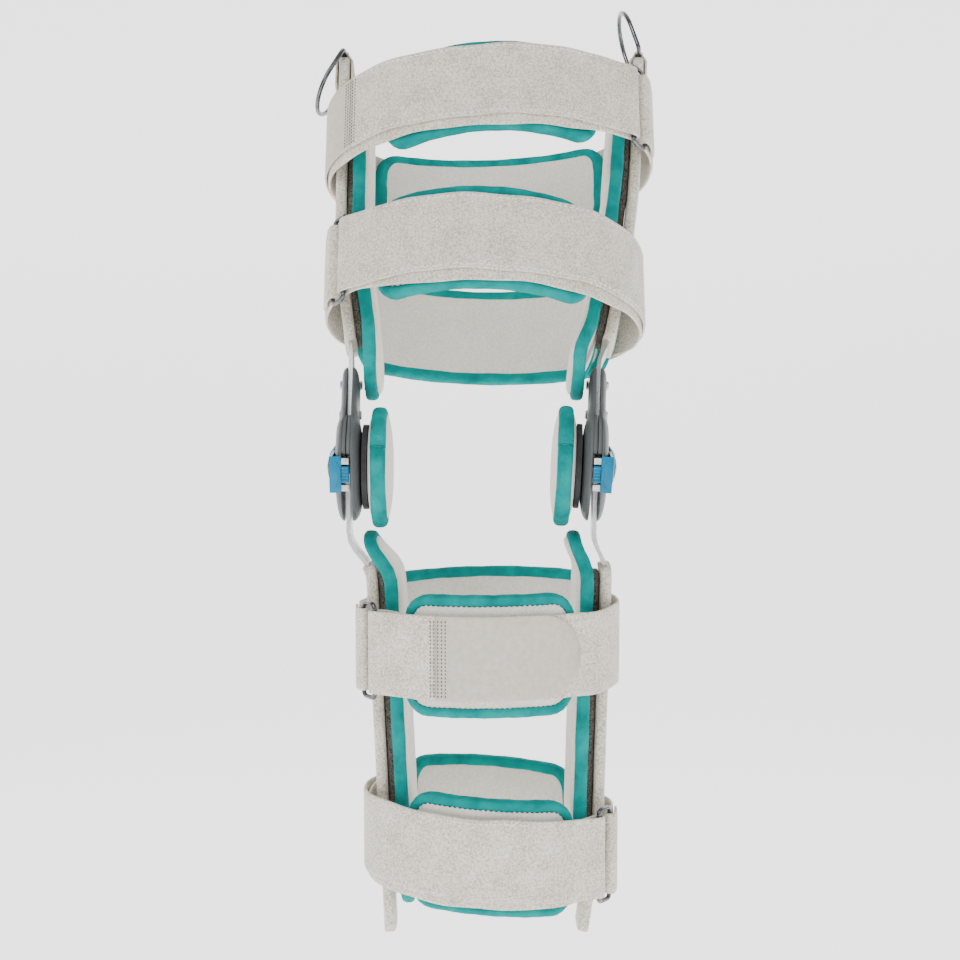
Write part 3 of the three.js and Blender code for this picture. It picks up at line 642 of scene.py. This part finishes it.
def strap_path(name):
    """Points (distance, offset, rise) of a strap from its anchor, round the leg and back from the ring"""
    row, curve = STRAPS[name], CURVES[name]
    front_bar = curve.distance_at(RING_ANGLE)
    rear_bar = front_bar + RING_REACH - RING_WIRE
    end = curve.wrapped_back(row["plush_end"])
    far_bar = curve.total + front_bar
    turn = [math.pi * i / 10 for i in range(11)]
    path = [(rear_bar + ANCHOR_TAIL, LAYER_OFFSET, 0),
            (rear_bar + ANCHOR_TAIL * 0.7, LAYER_OFFSET + 0.8 * MM, 0),
            (rear_bar + ANCHOR_TAIL * 0.35, 1.7 * LOOP_RADIUS, 0)]
    path += [(rear_bar - LOOP_RADIUS * math.sin(a), LOOP_RADIUS * (1 + math.cos(a)), 0) for a in turn]
    for distance in stations(rear_bar, far_bar, 3.5 * MM)[1:-1]:
        share = ease(far_bar - distance, 0, 50 * MM) * ease(distance, 0.55 * far_bar, 0.7 * far_bar)
        path.append((distance, 0.0, -row["inner_drop"] * MM * share + edge_wave(distance, 1.3)))
    path += [(far_bar + LOOP_RADIUS * math.sin(a), LOOP_RADIUS * (1 - math.cos(a)), 0) for a in turn]
    path += [(front_bar - ANCHOR_TAIL * 0.35, 1.7 * LOOP_RADIUS, 0),
             (front_bar - ANCHOR_TAIL * 0.7, LAYER_OFFSET + 0.8 * MM, 0)]
    for distance in stations(front_bar - ANCHOR_TAIL, end, 3.5 * MM):
        share = ease(front_bar - distance, ANCHOR_TAIL, 3 * ANCHOR_TAIL)
        path.append((distance, LAYER_OFFSET, edge_wave(distance) * share))
    return path


def ribbon_rings(curve, path, thickness, width, reaches=None):
    """Rings of a flat ribbon's section, standing along the limb"""
    section = soft_section(thickness, width, 28, 7.0)
    spots = [curve.place(*point) for point in path]
    rise = (LIMB_TURN[curve.limb] @ Vector((0, 0, 1))).to_3d()
    rings = []
    for i, spot in enumerate(spots):
        before, after = spots[max(0, i - 1)], spots[min(len(spots) - 1, i + 1)]
        out = (after - before).cross(rise).normalized()
        reach = reaches[i] if reaches else 1.0
        rings.append([spot + out * a + rise * b * reach for a, b in section])
    return rings, lengths_of(spots), lengths_of([Vector((a, b, 0)) for a, b in section], True)


def make_strap(name):
    row, curve = STRAPS[name], CURVES[name]
    body = LIMB_BODY[curve.limb]
    rings, along, across = ribbon_rings(curve, strap_path(name), STRAP_THICK, STRAP_WIDTH)
    bm = bmesh.new()
    sweep(bm, rings, along, across)
    strap = finish_piece(f"plush_strap_{name}", bm, "plush", body, [f"strap_{name}"])
    threads = bmesh.new()
    front_bar = curve.distance_at(RING_ANGLE)
    run = stations(front_bar - 2 * ANCHOR_TAIL, curve.wrapped_back(row["plush_end"]), 3.5 * MM)
    for edge in (-1, 1):
        reach = edge * (STRAP_WIDTH / 2 - 2.4 * MM)
        path = [curve.place(distance, LAYER_OFFSET + STRAP_THICK / 2, reach + edge_wave(distance)
                            * ease(front_bar - distance, ANCHOR_TAIL, 3 * ANCHOR_TAIL)) for distance in run]
        normals = [curve.outward(distance) for distance in run]
        stitch_row(threads, path, normals, 2.7 * MM, 4.0 * MM, 0.36 * MM, 0.05 * MM)
    stitches = finish_piece(f"edge_stitches_{name}", threads, "pale_thread", body)
    return strap


def make_hook_tab(name, strap):
    row, curve = STRAPS[name], CURVES[name]
    body = LIMB_BODY[curve.limb]
    start = curve.wrapped_back(row["plush_end"]) - 0.3 * MM
    end = curve.wrapped_back(row["tab_end"])
    radius = STRAP_WIDTH / 2
    run = stations(start, end + radius, 3.5 * MM)
    run += [end + radius * (1 - math.sin(math.pi / 2 * k / 10)) for k in range(1, 10)]
    reaches = [math.sqrt(max(1 - max(0.0, 1 - (distance - end) / radius) ** 2, 0.0)) for distance in run]
    path = [(distance, LAYER_OFFSET, 0.0) for distance in run]
    rings, along, across = ribbon_rings(curve, path, TAB_THICK, STRAP_WIDTH, reaches)
    bm = bmesh.new()
    sweep(bm, rings, along, across)
    tab = finish_piece(f"woven_tab_{name}", bm, "tape", body, [f"hook_tab_{name}"])
    threads = bmesh.new()
    for k in range(5):
        distance = start + (3.0 - 2.2 * k) * MM
        thick = STRAP_THICK if distance > start else TAB_THICK
        rises = stations(-STRAP_WIDTH / 2 + 1.5 * MM, STRAP_WIDTH / 2 - 1.5 * MM, 4 * MM)
        path = [curve.place(distance, LAYER_OFFSET + thick / 2, rise) for rise in rises]
        stitch_row(threads, path, [curve.outward(distance)] * len(path), 1.5 * MM, 2.2 * MM, 0.45 * MM, 0)
    stitches = finish_piece(f"bar_stitches_{name}", threads, "dark_thread", body)
    flat_length = abs(end - start)
    STRAP_WIDTH * (flat_length - radius) + math.pi * radius ** 2 / 2


# Rings

def rounded_rectangle(width, height, radius, turns=8):
    """Points (x, y) round a rectangle with round corners"""
    points = []
    for cx, cy, start in ((1, -1, -90), (1, 1, 0), (-1, 1, 90), (-1, -1, 180)):
        for k in range(turns + 1):
            angle = math.radians(start + 90 * k / turns)
            points.append((cx * (width / 2 - radius) + radius * math.cos(angle),
                           cy * (height / 2 - radius) + radius * math.sin(angle)))
    return points


def make_strap_ring(name):
    curve = CURVES[name]
    start = curve.distance_at(RING_ANGLE)
    front = curve.place(start, LOOP_RADIUS)
    rear = curve.place(start + RING_REACH - RING_WIRE, LOOP_RADIUS)
    middle = front.lerp(rear, 0.5)
    run = (rear - front).normalized()
    rise = (LIMB_TURN[curve.limb] @ Vector((0, 0, 1))).to_3d()
    outline = rounded_rectangle((rear - front).length, RING_LENGTH + RING_WIRE, 3.2 * MM)
    path = [middle + run * x + rise * y for x, y in outline]
    section = soft_section(RING_WIRE, RING_WIRE, 12, 2.0)
    swept_piece(f"ring_wire_{name}", path, section, run.cross(rise).normalized(), "chrome",
                LIMB_BODY[curve.limb], [f"strap_ring_{name}"], closed=True)


def make_d_ring(where):
    half = D_RING_WIDTH / 2
    straight = D_RING_REACH - half
    outline = [(0, 0), (half - 3 * MM, 0), (half - 0.9 * MM, 0.9 * MM), (half, 3 * MM)]
    turn = [math.pi * i / 20 for i in range(21)]
    outline += [(half * math.cos(a), straight + half * math.sin(a)) for a in turn]
    outline += [(-half, 3 * MM), (-half + 0.9 * MM, 0.9 * MM), (-half + 3 * MM, 0)]
    seat = SLEEVE_ENDS["upper"] + RING_LIFT
    x = line_x("upper", where, SLEEVE_ENDS["upper"])
    tip = math.radians(RING_TIPS[where])
    path = [limb_point("upper", x + b * math.sin(tip), a, seat + b * math.cos(tip)) for a, b in outline]
    facing = limb_point("upper", math.cos(tip), 0, -math.sin(tip))
    section = soft_section(D_RING_WIRE, D_RING_WIRE, 12, 2.0)
    swept_piece(f"top_ring_{where}", path, section, facing, "chrome", "thigh",
                [f"d_ring_{where}"], closed=True)


def make_ring_loop(where):
    """The doubled strip that holds a D-ring at the sleeve's top"""
    top = SLEEVE_ENDS["upper"]
    middle = line_x("upper", where, top)
    lean = math.atan2(middle - line_x("upper", where, top - LOOP_LAP), LOOP_LAP)
    leg = SLEEVE_HALF + 0.6 * MM + LOOP_THICK / 2
    radius = D_RING_WIRE / 2 + 0.35 * MM + LOOP_THICK / 2
    rows = [(leg, h - LOOP_LAP) for h in stations(0, LOOP_LAP, 4 * MM)]
    turn = [math.pi * i / 12 for i in range(13)]
    rows += [(radius * math.cos(a), RING_LIFT + radius * math.sin(a)) for a in turn]
    rows += [(-leg, -h) for h in stations(0, LOOP_LAP, 4 * MM)]
    path = []
    for x, z in rows:
        path.append(limb_point("upper", middle + x * math.cos(lean) + z * math.sin(lean), 0,
                               top - x * math.sin(lean) + z * math.cos(lean)))
    section = soft_section(LOOP_THICK, LOOP_WIDTH, 20, 7.0)
    front = limb_point("upper", 0, 1, 0)
    loop = swept_piece(f"ring_strip_{where}", path, section, front, "plush", "thigh",
                       [f"ring_loop_{where}"])
    lengths_of(path)[-1]


# Pads

def pad_outline(width, height, radius, inset, long_steps=26, short_steps=8, turns=6):
    """Points (u, v) of a rectangle with round corners, moved in by inset, always as many of them"""
    half_w, half_h = width / 2 - inset, height / 2 - inset
    radius = max(radius - inset, 0.0)
    points = []
    corners = ((1, -1, -90, short_steps), (1, 1, 0, long_steps),
               (-1, 1, 90, short_steps), (-1, -1, 180, long_steps))
    for n, (cx, cy, start, steps) in enumerate(corners):
        centre = Vector((cx * (half_w - radius), cy * (half_h - radius)))
        for k in range(turns + 1):
            angle = math.radians(start + 90 * k / turns)
            points.append(centre + radius * Vector((math.cos(angle), math.sin(angle))))
        nx, ny, next_start, _ = corners[(n + 1) % 4]
        angle = math.radians(next_start)
        following = Vector((nx * (half_w - radius), ny * (half_h - radius)))
        following += radius * Vector((math.cos(angle), math.sin(angle)))
        last = points[-1]
        points += [last.lerp(following, k / steps) for k in range(1, steps)]
    return points


class Pad:
    """A sewn pad: a soft body in a bound edge. place puts (u, v, w) of the pad in the brace's frame."""

    def __init__(self, name, body, size, radius, thick, place, give, replaced, dome=6 * MM):
        self.name = name
        self.body = body
        self.size = size
        self.radius = radius
        self.thick = thick
        self.place = place
        self.give = give
        self.replaced = replaced
        self.dome = dome

    def soft_body(self, margin):
        """The stuffed part, with its edge margin inside the binding's outline"""
        width, height = self.size
        half = self.thick / 2
        limit = height / 2 - margin
        insets = [share * limit for share in (0, 0.03, 0.08, 0.15, 0.24, 0.36, 0.5, 0.66, 0.83, 1)]
        rows = []
        for inset in insets:
            part = min(inset / self.dome, 1.0)
            rows.append((inset, half * (0.25 + 0.75 * math.sqrt(1 - (1 - part) ** 2))))
        rings = [(inset, w) for inset, w in reversed(rows)] + [(inset, -w) for inset, w in rows]
        grid = [[(p.x, p.y, w) for p in pad_outline(width, height, self.radius, margin + inset)]
                for inset, w in rings]
        bm = bmesh.new()
        limits = bm.verts.layers.float.new("give")
        cell = sweep(bm, [[self.place(*spot) for spot in ring] for ring in grid], capped=False)
        for vert, (i, j) in cell.items():
            inset = rings[i][0]
            vert[limits] = 0.0 if inset < 4 * MM else self.give(*grid[i][j]) * ease(inset, 4 * MM, 10 * MM)
        bmesh.ops.remove_doubles(bm, verts=bm.verts, dist=1e-5)
        bmesh.ops.recalc_face_normals(bm, faces=bm.faces)
        piece = finish_piece(f"{self.name}_cushion", bm, "pile", self.body, self.replaced)
        return piece

    def edge_path(self, inset, w):
        width, height = self.size
        outline = pad_outline(width, height, self.radius, inset)
        path = [self.place(p.x, p.y, w) for p in outline]
        normals = [(self.place(p.x, p.y, w + 1 * MM) - self.place(p.x, p.y, w)).normalized() for p in outline]
        return path, normals

    def binding(self, bead, depth, shift, stitch_face):
        """The bound edge: bead is its height on the pad's face, depth its size through the pad"""
        path, normals = self.edge_path(bead / 2, shift)
        turn = 2 * math.pi / len(path)
        scales = [1 + 0.03 * math.sin(13 * turn * k) + 0.02 * math.sin(29 * turn * k) for k in range(len(path))]
        piece = swept_piece(f"{self.name}_binding", path, soft_section(bead, depth, 20, 2.6), normals, "twill",
                            self.body, closed=True, scales=scales)
        lift = shift + stitch_face * depth / 2 * 0.93
        stitches, normals = self.edge_path(bead * 0.84, lift)
        threads = bmesh.new()
        stitch_row(threads, stitches + stitches[:1], normals + normals[:1],
                   2.1 * MM, 3.1 * MM, 0.42 * MM, 0.1 * MM)
        finish_piece(f"{self.name}_seam", threads, "teal_thread", self.body)
        return piece


def leg_pad(name, part, centre, spread):
    curve = CURVES[name]
    middle = 0.0 if centre == 0 else curve.distance_at(centre)
    reach = curve.distance_at(spread) if centre == 0 else curve.distance_at(centre + spread) - middle
    step = curve.total / round(curve.total / STATION_STEP)
    low = round((middle - reach) / step) * step
    high = round((middle + reach) / step) * step
    height = PADS[name]["height"] * STRAP_WIDTH
    droop = PADS[name]["droop"] * STRAP_WIDTH
    depth = STRAP_THICK / 2 + 0.4 * MM + PAD_THICK / 2

    def place(u, v, w):
        distance = (low + high) / 2 + u
        return curve.place(distance, w - depth, v - droop * ((distance - middle) / reach) ** 2)

    def give(u, v, w):
        under_strap = w > 0 and abs(v) < STRAP_WIDTH / 2 + 4 * MM
        return 0.2 * MM if under_strap else 2.4 * MM

    size = (high - low + 2 * PAD_EDGE, height)
    return Pad(f"{part}_pad_{name}", LIMB_BODY[curve.limb], size, 17 * MM, PAD_THICK - 1.4 * MM, place, give,
               [f"{part}_pad_{name}"])


def side_pad(limb, where):
    side, sign = SIDES[where], LIMB_SIGN[limb]
    start, end = SIDE_PAD_RUNS[limb]
    middle = (start + end) / 2

    def place(u, v, w):
        along = middle + u
        x = line_x(limb, where, along) - side * (SIDE_PAD_OFFSET - w)
        return limb_point(limb, x, v, sign * along)

    def give(u, v, w):
        return 0.3 * MM if w > 0 else 2.6 * MM

    return Pad(f"{limb}_side_pad_{where}", LIMB_BODY[limb], (end - start, SIDE_PAD_WIDTH), 27 * MM,
               SIDE_PAD_THICK - 2 * MM, place, give, [f"{limb}_side_pad_{where}"])


def condyle_pad(where):
    side = SIDES[where]
    centre = HEAD_INNER + 0.3 * MM + CONDYLE_BACKING + CONDYLE_THICK / 2

    def place(u, v, w):
        return hinge_point(where, -side * (centre - w), u, v)

    return Pad(f"condyle_pad_{where}", "thigh", (2 * CONDYLE_RADIUS, 2 * CONDYLE_RADIUS), CONDYLE_RADIUS,
               CONDYLE_THICK - 0.6 * MM, place, lambda u, v, w: 0.1 * MM if w > 0 else 1.5 * MM,
               [f"condyle_pad_{where}"], dome=26 * MM)


def make_condyle_backing(where):
    side = SIDES[where]
    seat = HEAD_INNER + 0.3 * MM
    bm = turned([(1e-6, 0), (CONDYLE_RADIUS * 0.7, 0), (CONDYLE_RADIUS * 0.7, CONDYLE_BACKING + 1 * MM),
                 (1e-6, CONDYLE_BACKING + 1 * MM)])
    for vert in bm.verts:
        vert.co = hinge_point(where, -side * (seat + vert.co.x), vert.co.y, vert.co.z)
    bmesh.ops.recalc_face_normals(bm, faces=bm.faces)
    finish_piece(f"condyle_hook_disc_{where}", bm, "rubber", "thigh", smooth=False)


def stuff(cushions, pressure=4.0, steps=20):
    """Presses the cloth of all the cushions out from inside, each point as far as it may give"""
    limits = []
    for piece in cushions:
        values = np.zeros(len(piece.data.vertices))
        piece.data.attributes["give"].data.foreach_get("value", values)
        limits.append(values)
        pinned = piece.vertex_groups.new(name="sewn_edge")
        pinned.add([int(i) for i in np.nonzero(values == 0)[0]], 1.0, "REPLACE")
        cloth = piece.modifiers.new("stuffing", "CLOTH")
        cloth.settings.use_pressure = True
        cloth.settings.uniform_pressure_force = pressure
        cloth.settings.vertex_group_mass = "sewn_edge"
        cloth.settings.effector_weights.gravity = 0
        cloth.settings.quality = 4
    for frame_number in range(1, steps + 1):
        bpy.context.scene.frame_set(frame_number)
    depsgraph = bpy.context.evaluated_depsgraph_get()
    for piece, values in zip(cushions, limits):
        evaluated = piece.evaluated_get(depsgraph)
        pressed = [vert.co.copy() for vert in evaluated.to_mesh().vertices]
        evaluated.to_mesh_clear()
        for vert, spot, limit in zip(piece.data.vertices, pressed, values):
            move = spot - vert.co
            if move.length > limit:
                move *= limit / move.length
            vert.co = vert.co + move
    bpy.context.scene.frame_set(1)
    for piece in cushions:
        piece.modifiers.remove(piece.modifiers["stuffing"])
        piece.data.attributes.remove(piece.data.attributes["give"])


def make_pads():
    cushions = []
    for name in STRAPS:
        for pad in (leg_pad(name, "front", 0, FRONT_SPREAD), leg_pad(name, "back", 180, BACK_SPREAD)):
            cushions.append(pad.soft_body(CUSHION_MARGINS["leg"]))
            pad.binding(BINDING_BEADS["leg"], BINDING_DEPTHS["leg"], 0, 1)
    for limb in LIMB_SIGN:
        for where in SIDES:
            pad = side_pad(limb, where)
            cushions.append(pad.soft_body(CUSHION_MARGINS["side"]))
            pad.binding(BINDING_BEADS["side"], BINDING_DEPTHS["side"], 1.8 * MM, -1)
    for where in SIDES:
        pad = condyle_pad(where)
        cushions.append(pad.soft_body(CUSHION_MARGINS["condyle"]))
        pad.binding(BINDING_BEADS["condyle"], BINDING_DEPTHS["condyle"], 0, 1)
        make_condyle_backing(where)
    stuff(cushions)
    for piece in cushions:
        smoother = piece.modifiers.new("smooth_cover", "SUBSURF")
        smoother.levels = smoother.render_levels = 1


# Sleeves and their hook strips

def upright_run(limb, where, start, end, shift=0.0):
    """Points of an upright between two distances, moved outwards by shift"""
    side, sign = SIDES[where], LIMB_SIGN[limb]
    return [limb_point(limb, line_x(limb, where, along) + side * shift, 0, sign * along)
            for along in stations(start, end, 4 * MM)]


def make_sleeve(limb, where):
    start, end = SLEEVE_STARTS[limb], SLEEVE_ENDS[limb]
    path = upright_run(limb, where, start, end)
    section = soft_section(2 * SLEEVE_HALF, SLEEVE_WIDTH, 24, 4.5)
    scales = [1 - 0.02 * abs(math.sin(0.37 * k + len(where))) for k in range(len(path))]
    front = limb_point(limb, 0, 1, 0)
    swept_piece(f"plush_sleeve_{limb}_{where}", path, section, front, "plush", LIMB_BODY[limb],
                [f"{limb}_sleeve_{where}"], scales=scales)
    shift = -(SLEEVE_HALF + 0.3 * MM + HOOK_STRIP_THICK / 2)
    strip_end = SIDE_PAD_RUNS[limb][1] - HOOK_STRIP_INSET
    strip = upright_run(limb, where, start + 4 * MM, strip_end, shift)
    section = soft_section(HOOK_STRIP_THICK, HOOK_STRIP_WIDTH, 20, 7.0)
    swept_piece(f"hook_strip_{limb}_{where}", strip, section, front, "hooks", LIMB_BODY[limb])


# Hinges

def housing_outline():
    """Points (y, z) round a housing half: a round head that narrows into the neck"""
    right = []
    for k in range(29):
        angle = math.radians(-90 + 143 * k / 28)
        right.append((HEAD_RADIUS * math.cos(angle), HEAD_RADIUS * math.sin(angle)))
    foot = right[-1]
    for k in range(1, 7):
        share = k / 6
        right.append((foot[0] + (13 * MM - foot[0]) * share, foot[1] + (NECK_TOP - 4 * MM - foot[1]) * share))
    for k in range(1, 6):
        angle = math.radians(90 * k / 5)
        right.append((9 * MM + 4 * MM * math.cos(angle), NECK_TOP - 4 * MM + 4 * MM * math.sin(angle)))
    right += [(4 * MM, NECK_TOP), (0, NECK_TOP)]
    return right + [(-y, z) for y, z in reversed(right[1:-1])]


def make_housing(where, facing):
    """One half of the hinge housing: a leaf with a full back and a thin tip"""
    side = SIDES[where] * facing
    full = HEAD_OUTER if facing > 0 else HEAD_INNER
    outline = housing_outline()
    inner_rows = [(t, None) for t in (1, 0.7, 0.35, 0.08, 0)]
    outer_rows = [(0, 0.14), (0.03, 0.36), (0.09, 0.58), (0.18, 0.76),
                  (0.3, 0.89), (0.45, 0.97), (0.7, 1), (1, 1)]
    rings = []
    for t, share in inner_rows + outer_rows:
        ring = []
        for y, z in outline:
            spine = max(z, 0.0) * 0.8
            neck = ease(spine, 12 * MM, 32 * MM)
            floor = SLOT_HALF + (NECK_INSIDE - SLOT_HALF) * ease(spine, 15 * MM, 23 * MM)
            top = full + (NECK_OUTSIDE - full) * neck
            w = floor if share is None else floor + (top - floor) * share
            ring.append(hinge_point(where, side * w, y * (1 - t), z + (spine - z) * t))
        rings.append(ring)
    bm = bmesh.new()
    sweep(bm, rings, capped=False)
    web = []
    radius = HEAD_RADIUS - 0.3 * MM - WEB_DEPTH / 2
    for degrees in stations(WEB_FOOT, -WEB_TOP, 4):
        angle = math.radians(degrees)
        web.append(hinge_point(where, side * (0.15 * MM + SLOT_HALF / 2), -radius * math.cos(angle),
                               -radius * math.sin(angle)))
    facing_x = (hinge_point(where, side, 0, 0) - hinge_point(where, 0, 0, 0)).normalized()
    add_tube(bm, web, soft_section(WEB_DEPTH, SLOT_HALF, 16, 8.0), facing_x)
    bmesh.ops.remove_doubles(bm, verts=bm.verts, dist=1e-5)
    bmesh.ops.recalc_face_normals(bm, faces=bm.faces)
    part = "outer" if facing > 0 else "inner"
    finish_piece(f"housing_{part}_{where}", bm, "grey", "thigh",
                 [f"hinge_{part}_shell_{where}"])


def make_dial_trim(where):
    """The dial's raised cap, the crescent on its front and the dark ring under its screw"""
    side = SIDES[where]
    body = f"stop_{where}"
    seat = HEAD_OUTER + 0.3 * MM
    hub_top = seat + DIAL_PLATE + DIAL_HUB_HEIGHT
    cap = turned([(12.8 * MM, seat), (13.4 * MM, seat + 0.7 * MM), (9.6 * MM, hub_top - 0.3 * MM),
                  (8.6 * MM, hub_top + 0.25 * MM), (6.4 * MM, hub_top + 0.3 * MM),
                  (6.4 * MM, hub_top - 0.6 * MM),
                  (9.1 * MM, hub_top - 1 * MM), (9.1 * MM, seat)])
    for vert in cap.verts:
        vert.co = hinge_point(where, side * vert.co.x, vert.co.y, vert.co.z, DIAL_ANGLE)
    bmesh.ops.recalc_face_normals(cap, faces=cap.faces)
    finish_piece(f"dial_cap_{where}", cap, "blue", body)
    ring = turned([(5.1 * MM, hub_top + 0.05 * MM), (6.3 * MM, hub_top + 0.05 * MM),
                   (6.3 * MM, hub_top + 0.9 * MM), (5.1 * MM, hub_top + 0.9 * MM)])
    for vert in ring.verts:
        vert.co = hinge_point(where, side * vert.co.x, vert.co.y, vert.co.z, DIAL_ANGLE)
    bmesh.ops.recalc_face_normals(ring, faces=ring.faces)
    finish_piece(f"screw_washer_{where}", ring, "rubber", body)
    rim = HEAD_RADIUS + 0.4 * MM + DIAL_RIM
    crescent = []
    for degrees in stations(-62, 62, 8):
        angle = math.radians(degrees)
        height = 9 * MM * math.sin(angle)
        reach = math.sqrt(rim ** 2 - height ** 2)
        out = side * (8.2 * MM - 5.0 * MM * math.cos(angle))
        crescent.append(hinge_point(where, out, -reach, height, DIAL_ANGLE))
    front = (hinge_point(where, 0, -1, 0, DIAL_ANGLE) - hinge_point(where, 0, 0, 0, DIAL_ANGLE)).normalized()
    swept_piece(f"dial_crescent_{where}", crescent, soft_section(1.3 * MM, 1.1 * MM, 10, 2.0), front, "blue", body,
                scales=[0.35 + 0.65 * math.sin(math.pi * k / (len(crescent) - 1)) ** 0.5
                                        for k in range(len(crescent))])


def paint_frame():
    """Finishes of the solids that stay, with softened edges"""
    rows = {"upper_bar": ("bar", 0.35), "lower_bar": ("bar", 0.35), "hinge_pin": ("steel", 0.2),
            "rivet": ("steel", 0.25), "dial_screw": ("steel", 0.3), "stop_slider": ("blue", 0.25),
            "stop_block": ("steel", 0.35), "range_dial": ("blue", 0.5)}
    for name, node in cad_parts.items():
        for start, (look, edge) in rows.items():
            if not name.startswith(start):
                continue
            for slot in node.material_slots:
                slot.material = LOOKS[look]
            soft_edge = node.modifiers.new("soft_edge", "BEVEL")
            soft_edge.width = edge * MM
            soft_edge.segments = 2
            soft_edge.limit_method = "ANGLE"


for strap_name in STRAPS:
    make_hook_tab(strap_name, make_strap(strap_name))
    make_strap_ring(strap_name)
make_pads()
for side_name in SIDES:
    make_sleeve("upper", side_name)
    make_sleeve("lower", side_name)
    make_ring_loop(side_name)
    make_d_ring(side_name)
    make_housing(side_name, 1)
    make_housing(side_name, -1)
    make_dial_trim(side_name)
paint_frame()


# Studio

def make_stage():
    bm = bmesh.new()
    profile = [Vector((0, -6, -0.62)), Vector((0, 2.2, -0.62))]
    for k in range(1, 13):
        angle = math.pi / 2 * k / 12
        profile.append(Vector((0, 2.2 + 1.4 * math.sin(angle), 0.78 - 1.4 * math.cos(angle))))
    profile.append(Vector((0, 3.6, 5.0)))
    verts = [bm.verts.new(point + Vector((-6, 0, 0))) for point in profile]
    edges = [bm.edges.new(pair) for pair in zip(verts, verts[1:])]
    made = bmesh.ops.extrude_edge_only(bm, edges=edges)["geom"]
    fresh = [item for item in made if isinstance(item, bmesh.types.BMVert)]
    bmesh.ops.translate(bm, verts=fresh, vec=(12, 0, 0))
    bmesh.ops.recalc_face_normals(bm, faces=bm.faces)
    mesh = bpy.data.meshes.new("studio_floor")
    bm.to_mesh(mesh)
    bm.free()
    floor = bpy.data.objects.new("studio_floor", mesh)
    bpy.context.collection.objects.link(floor)
    mesh.shade_smooth()
    paper = Finish("studio_paper", 0.9)
    tone = paper.ramp(paper.noise(0.4), [(0.3, shade_of("f1f0f0")), (0.7, shade_of("f3f2f2"))])
    paper.set("Base Color", tone)
    paper.set("Emission Color", tone)
    paper.set("Emission Strength", 1.8)
    mesh.materials.append(paper.material)


def make_lights():
    rows = [
        ("key", (-0.9, -1.6, 1.5), 1.5, 30),
        ("fill", (1.6, -1.4, 0.5), 1.8, 11),
        ("top", (0.0, 0.4, 1.9), 1.6, 9),
        ("back_left", (-1.6, 1.2, 0.6), 1.4, 6),
        ("back_right", (1.6, 1.2, 0.6), 1.4, 6),
    ]
    for name, place, size, power in rows:
        light = bpy.data.lights.new(f"soft_{name}", "AREA")
        light.shape = "SQUARE"
        light.size = size
        light.energy = power
        lamp = bpy.data.objects.new(f"soft_{name}", light)
        bpy.context.collection.objects.link(lamp)
        lamp.location = place
        lamp.rotation_euler = (-Vector(place)).to_track_quat("-Z", "Y").to_euler()
    world = bpy.data.worlds.new("studio_air")
    bpy.context.scene.world = world
    world.use_nodes = True
    world.node_tree.nodes["Background"].inputs["Color"].default_value = (0.97, 0.97, 0.97, 1)
    world.node_tree.nodes["Background"].inputs["Strength"].default_value = 0.5


def make_camera():
    """The photo's view: level, 1.1 m in front of the knee"""
    lens = bpy.data.cameras.new("photo_view")
    lens.sensor_width = 36
    lens.lens = 67.5
    camera = bpy.data.objects.new("photo_view", lens)
    bpy.context.collection.objects.link(camera)
    camera.location = (4.9 * MM, -1.1, -8 * MM)
    camera.rotation_euler = (math.pi / 2, 0, 0)
    bpy.context.scene.camera = camera


make_stage()
make_lights()
make_camera()
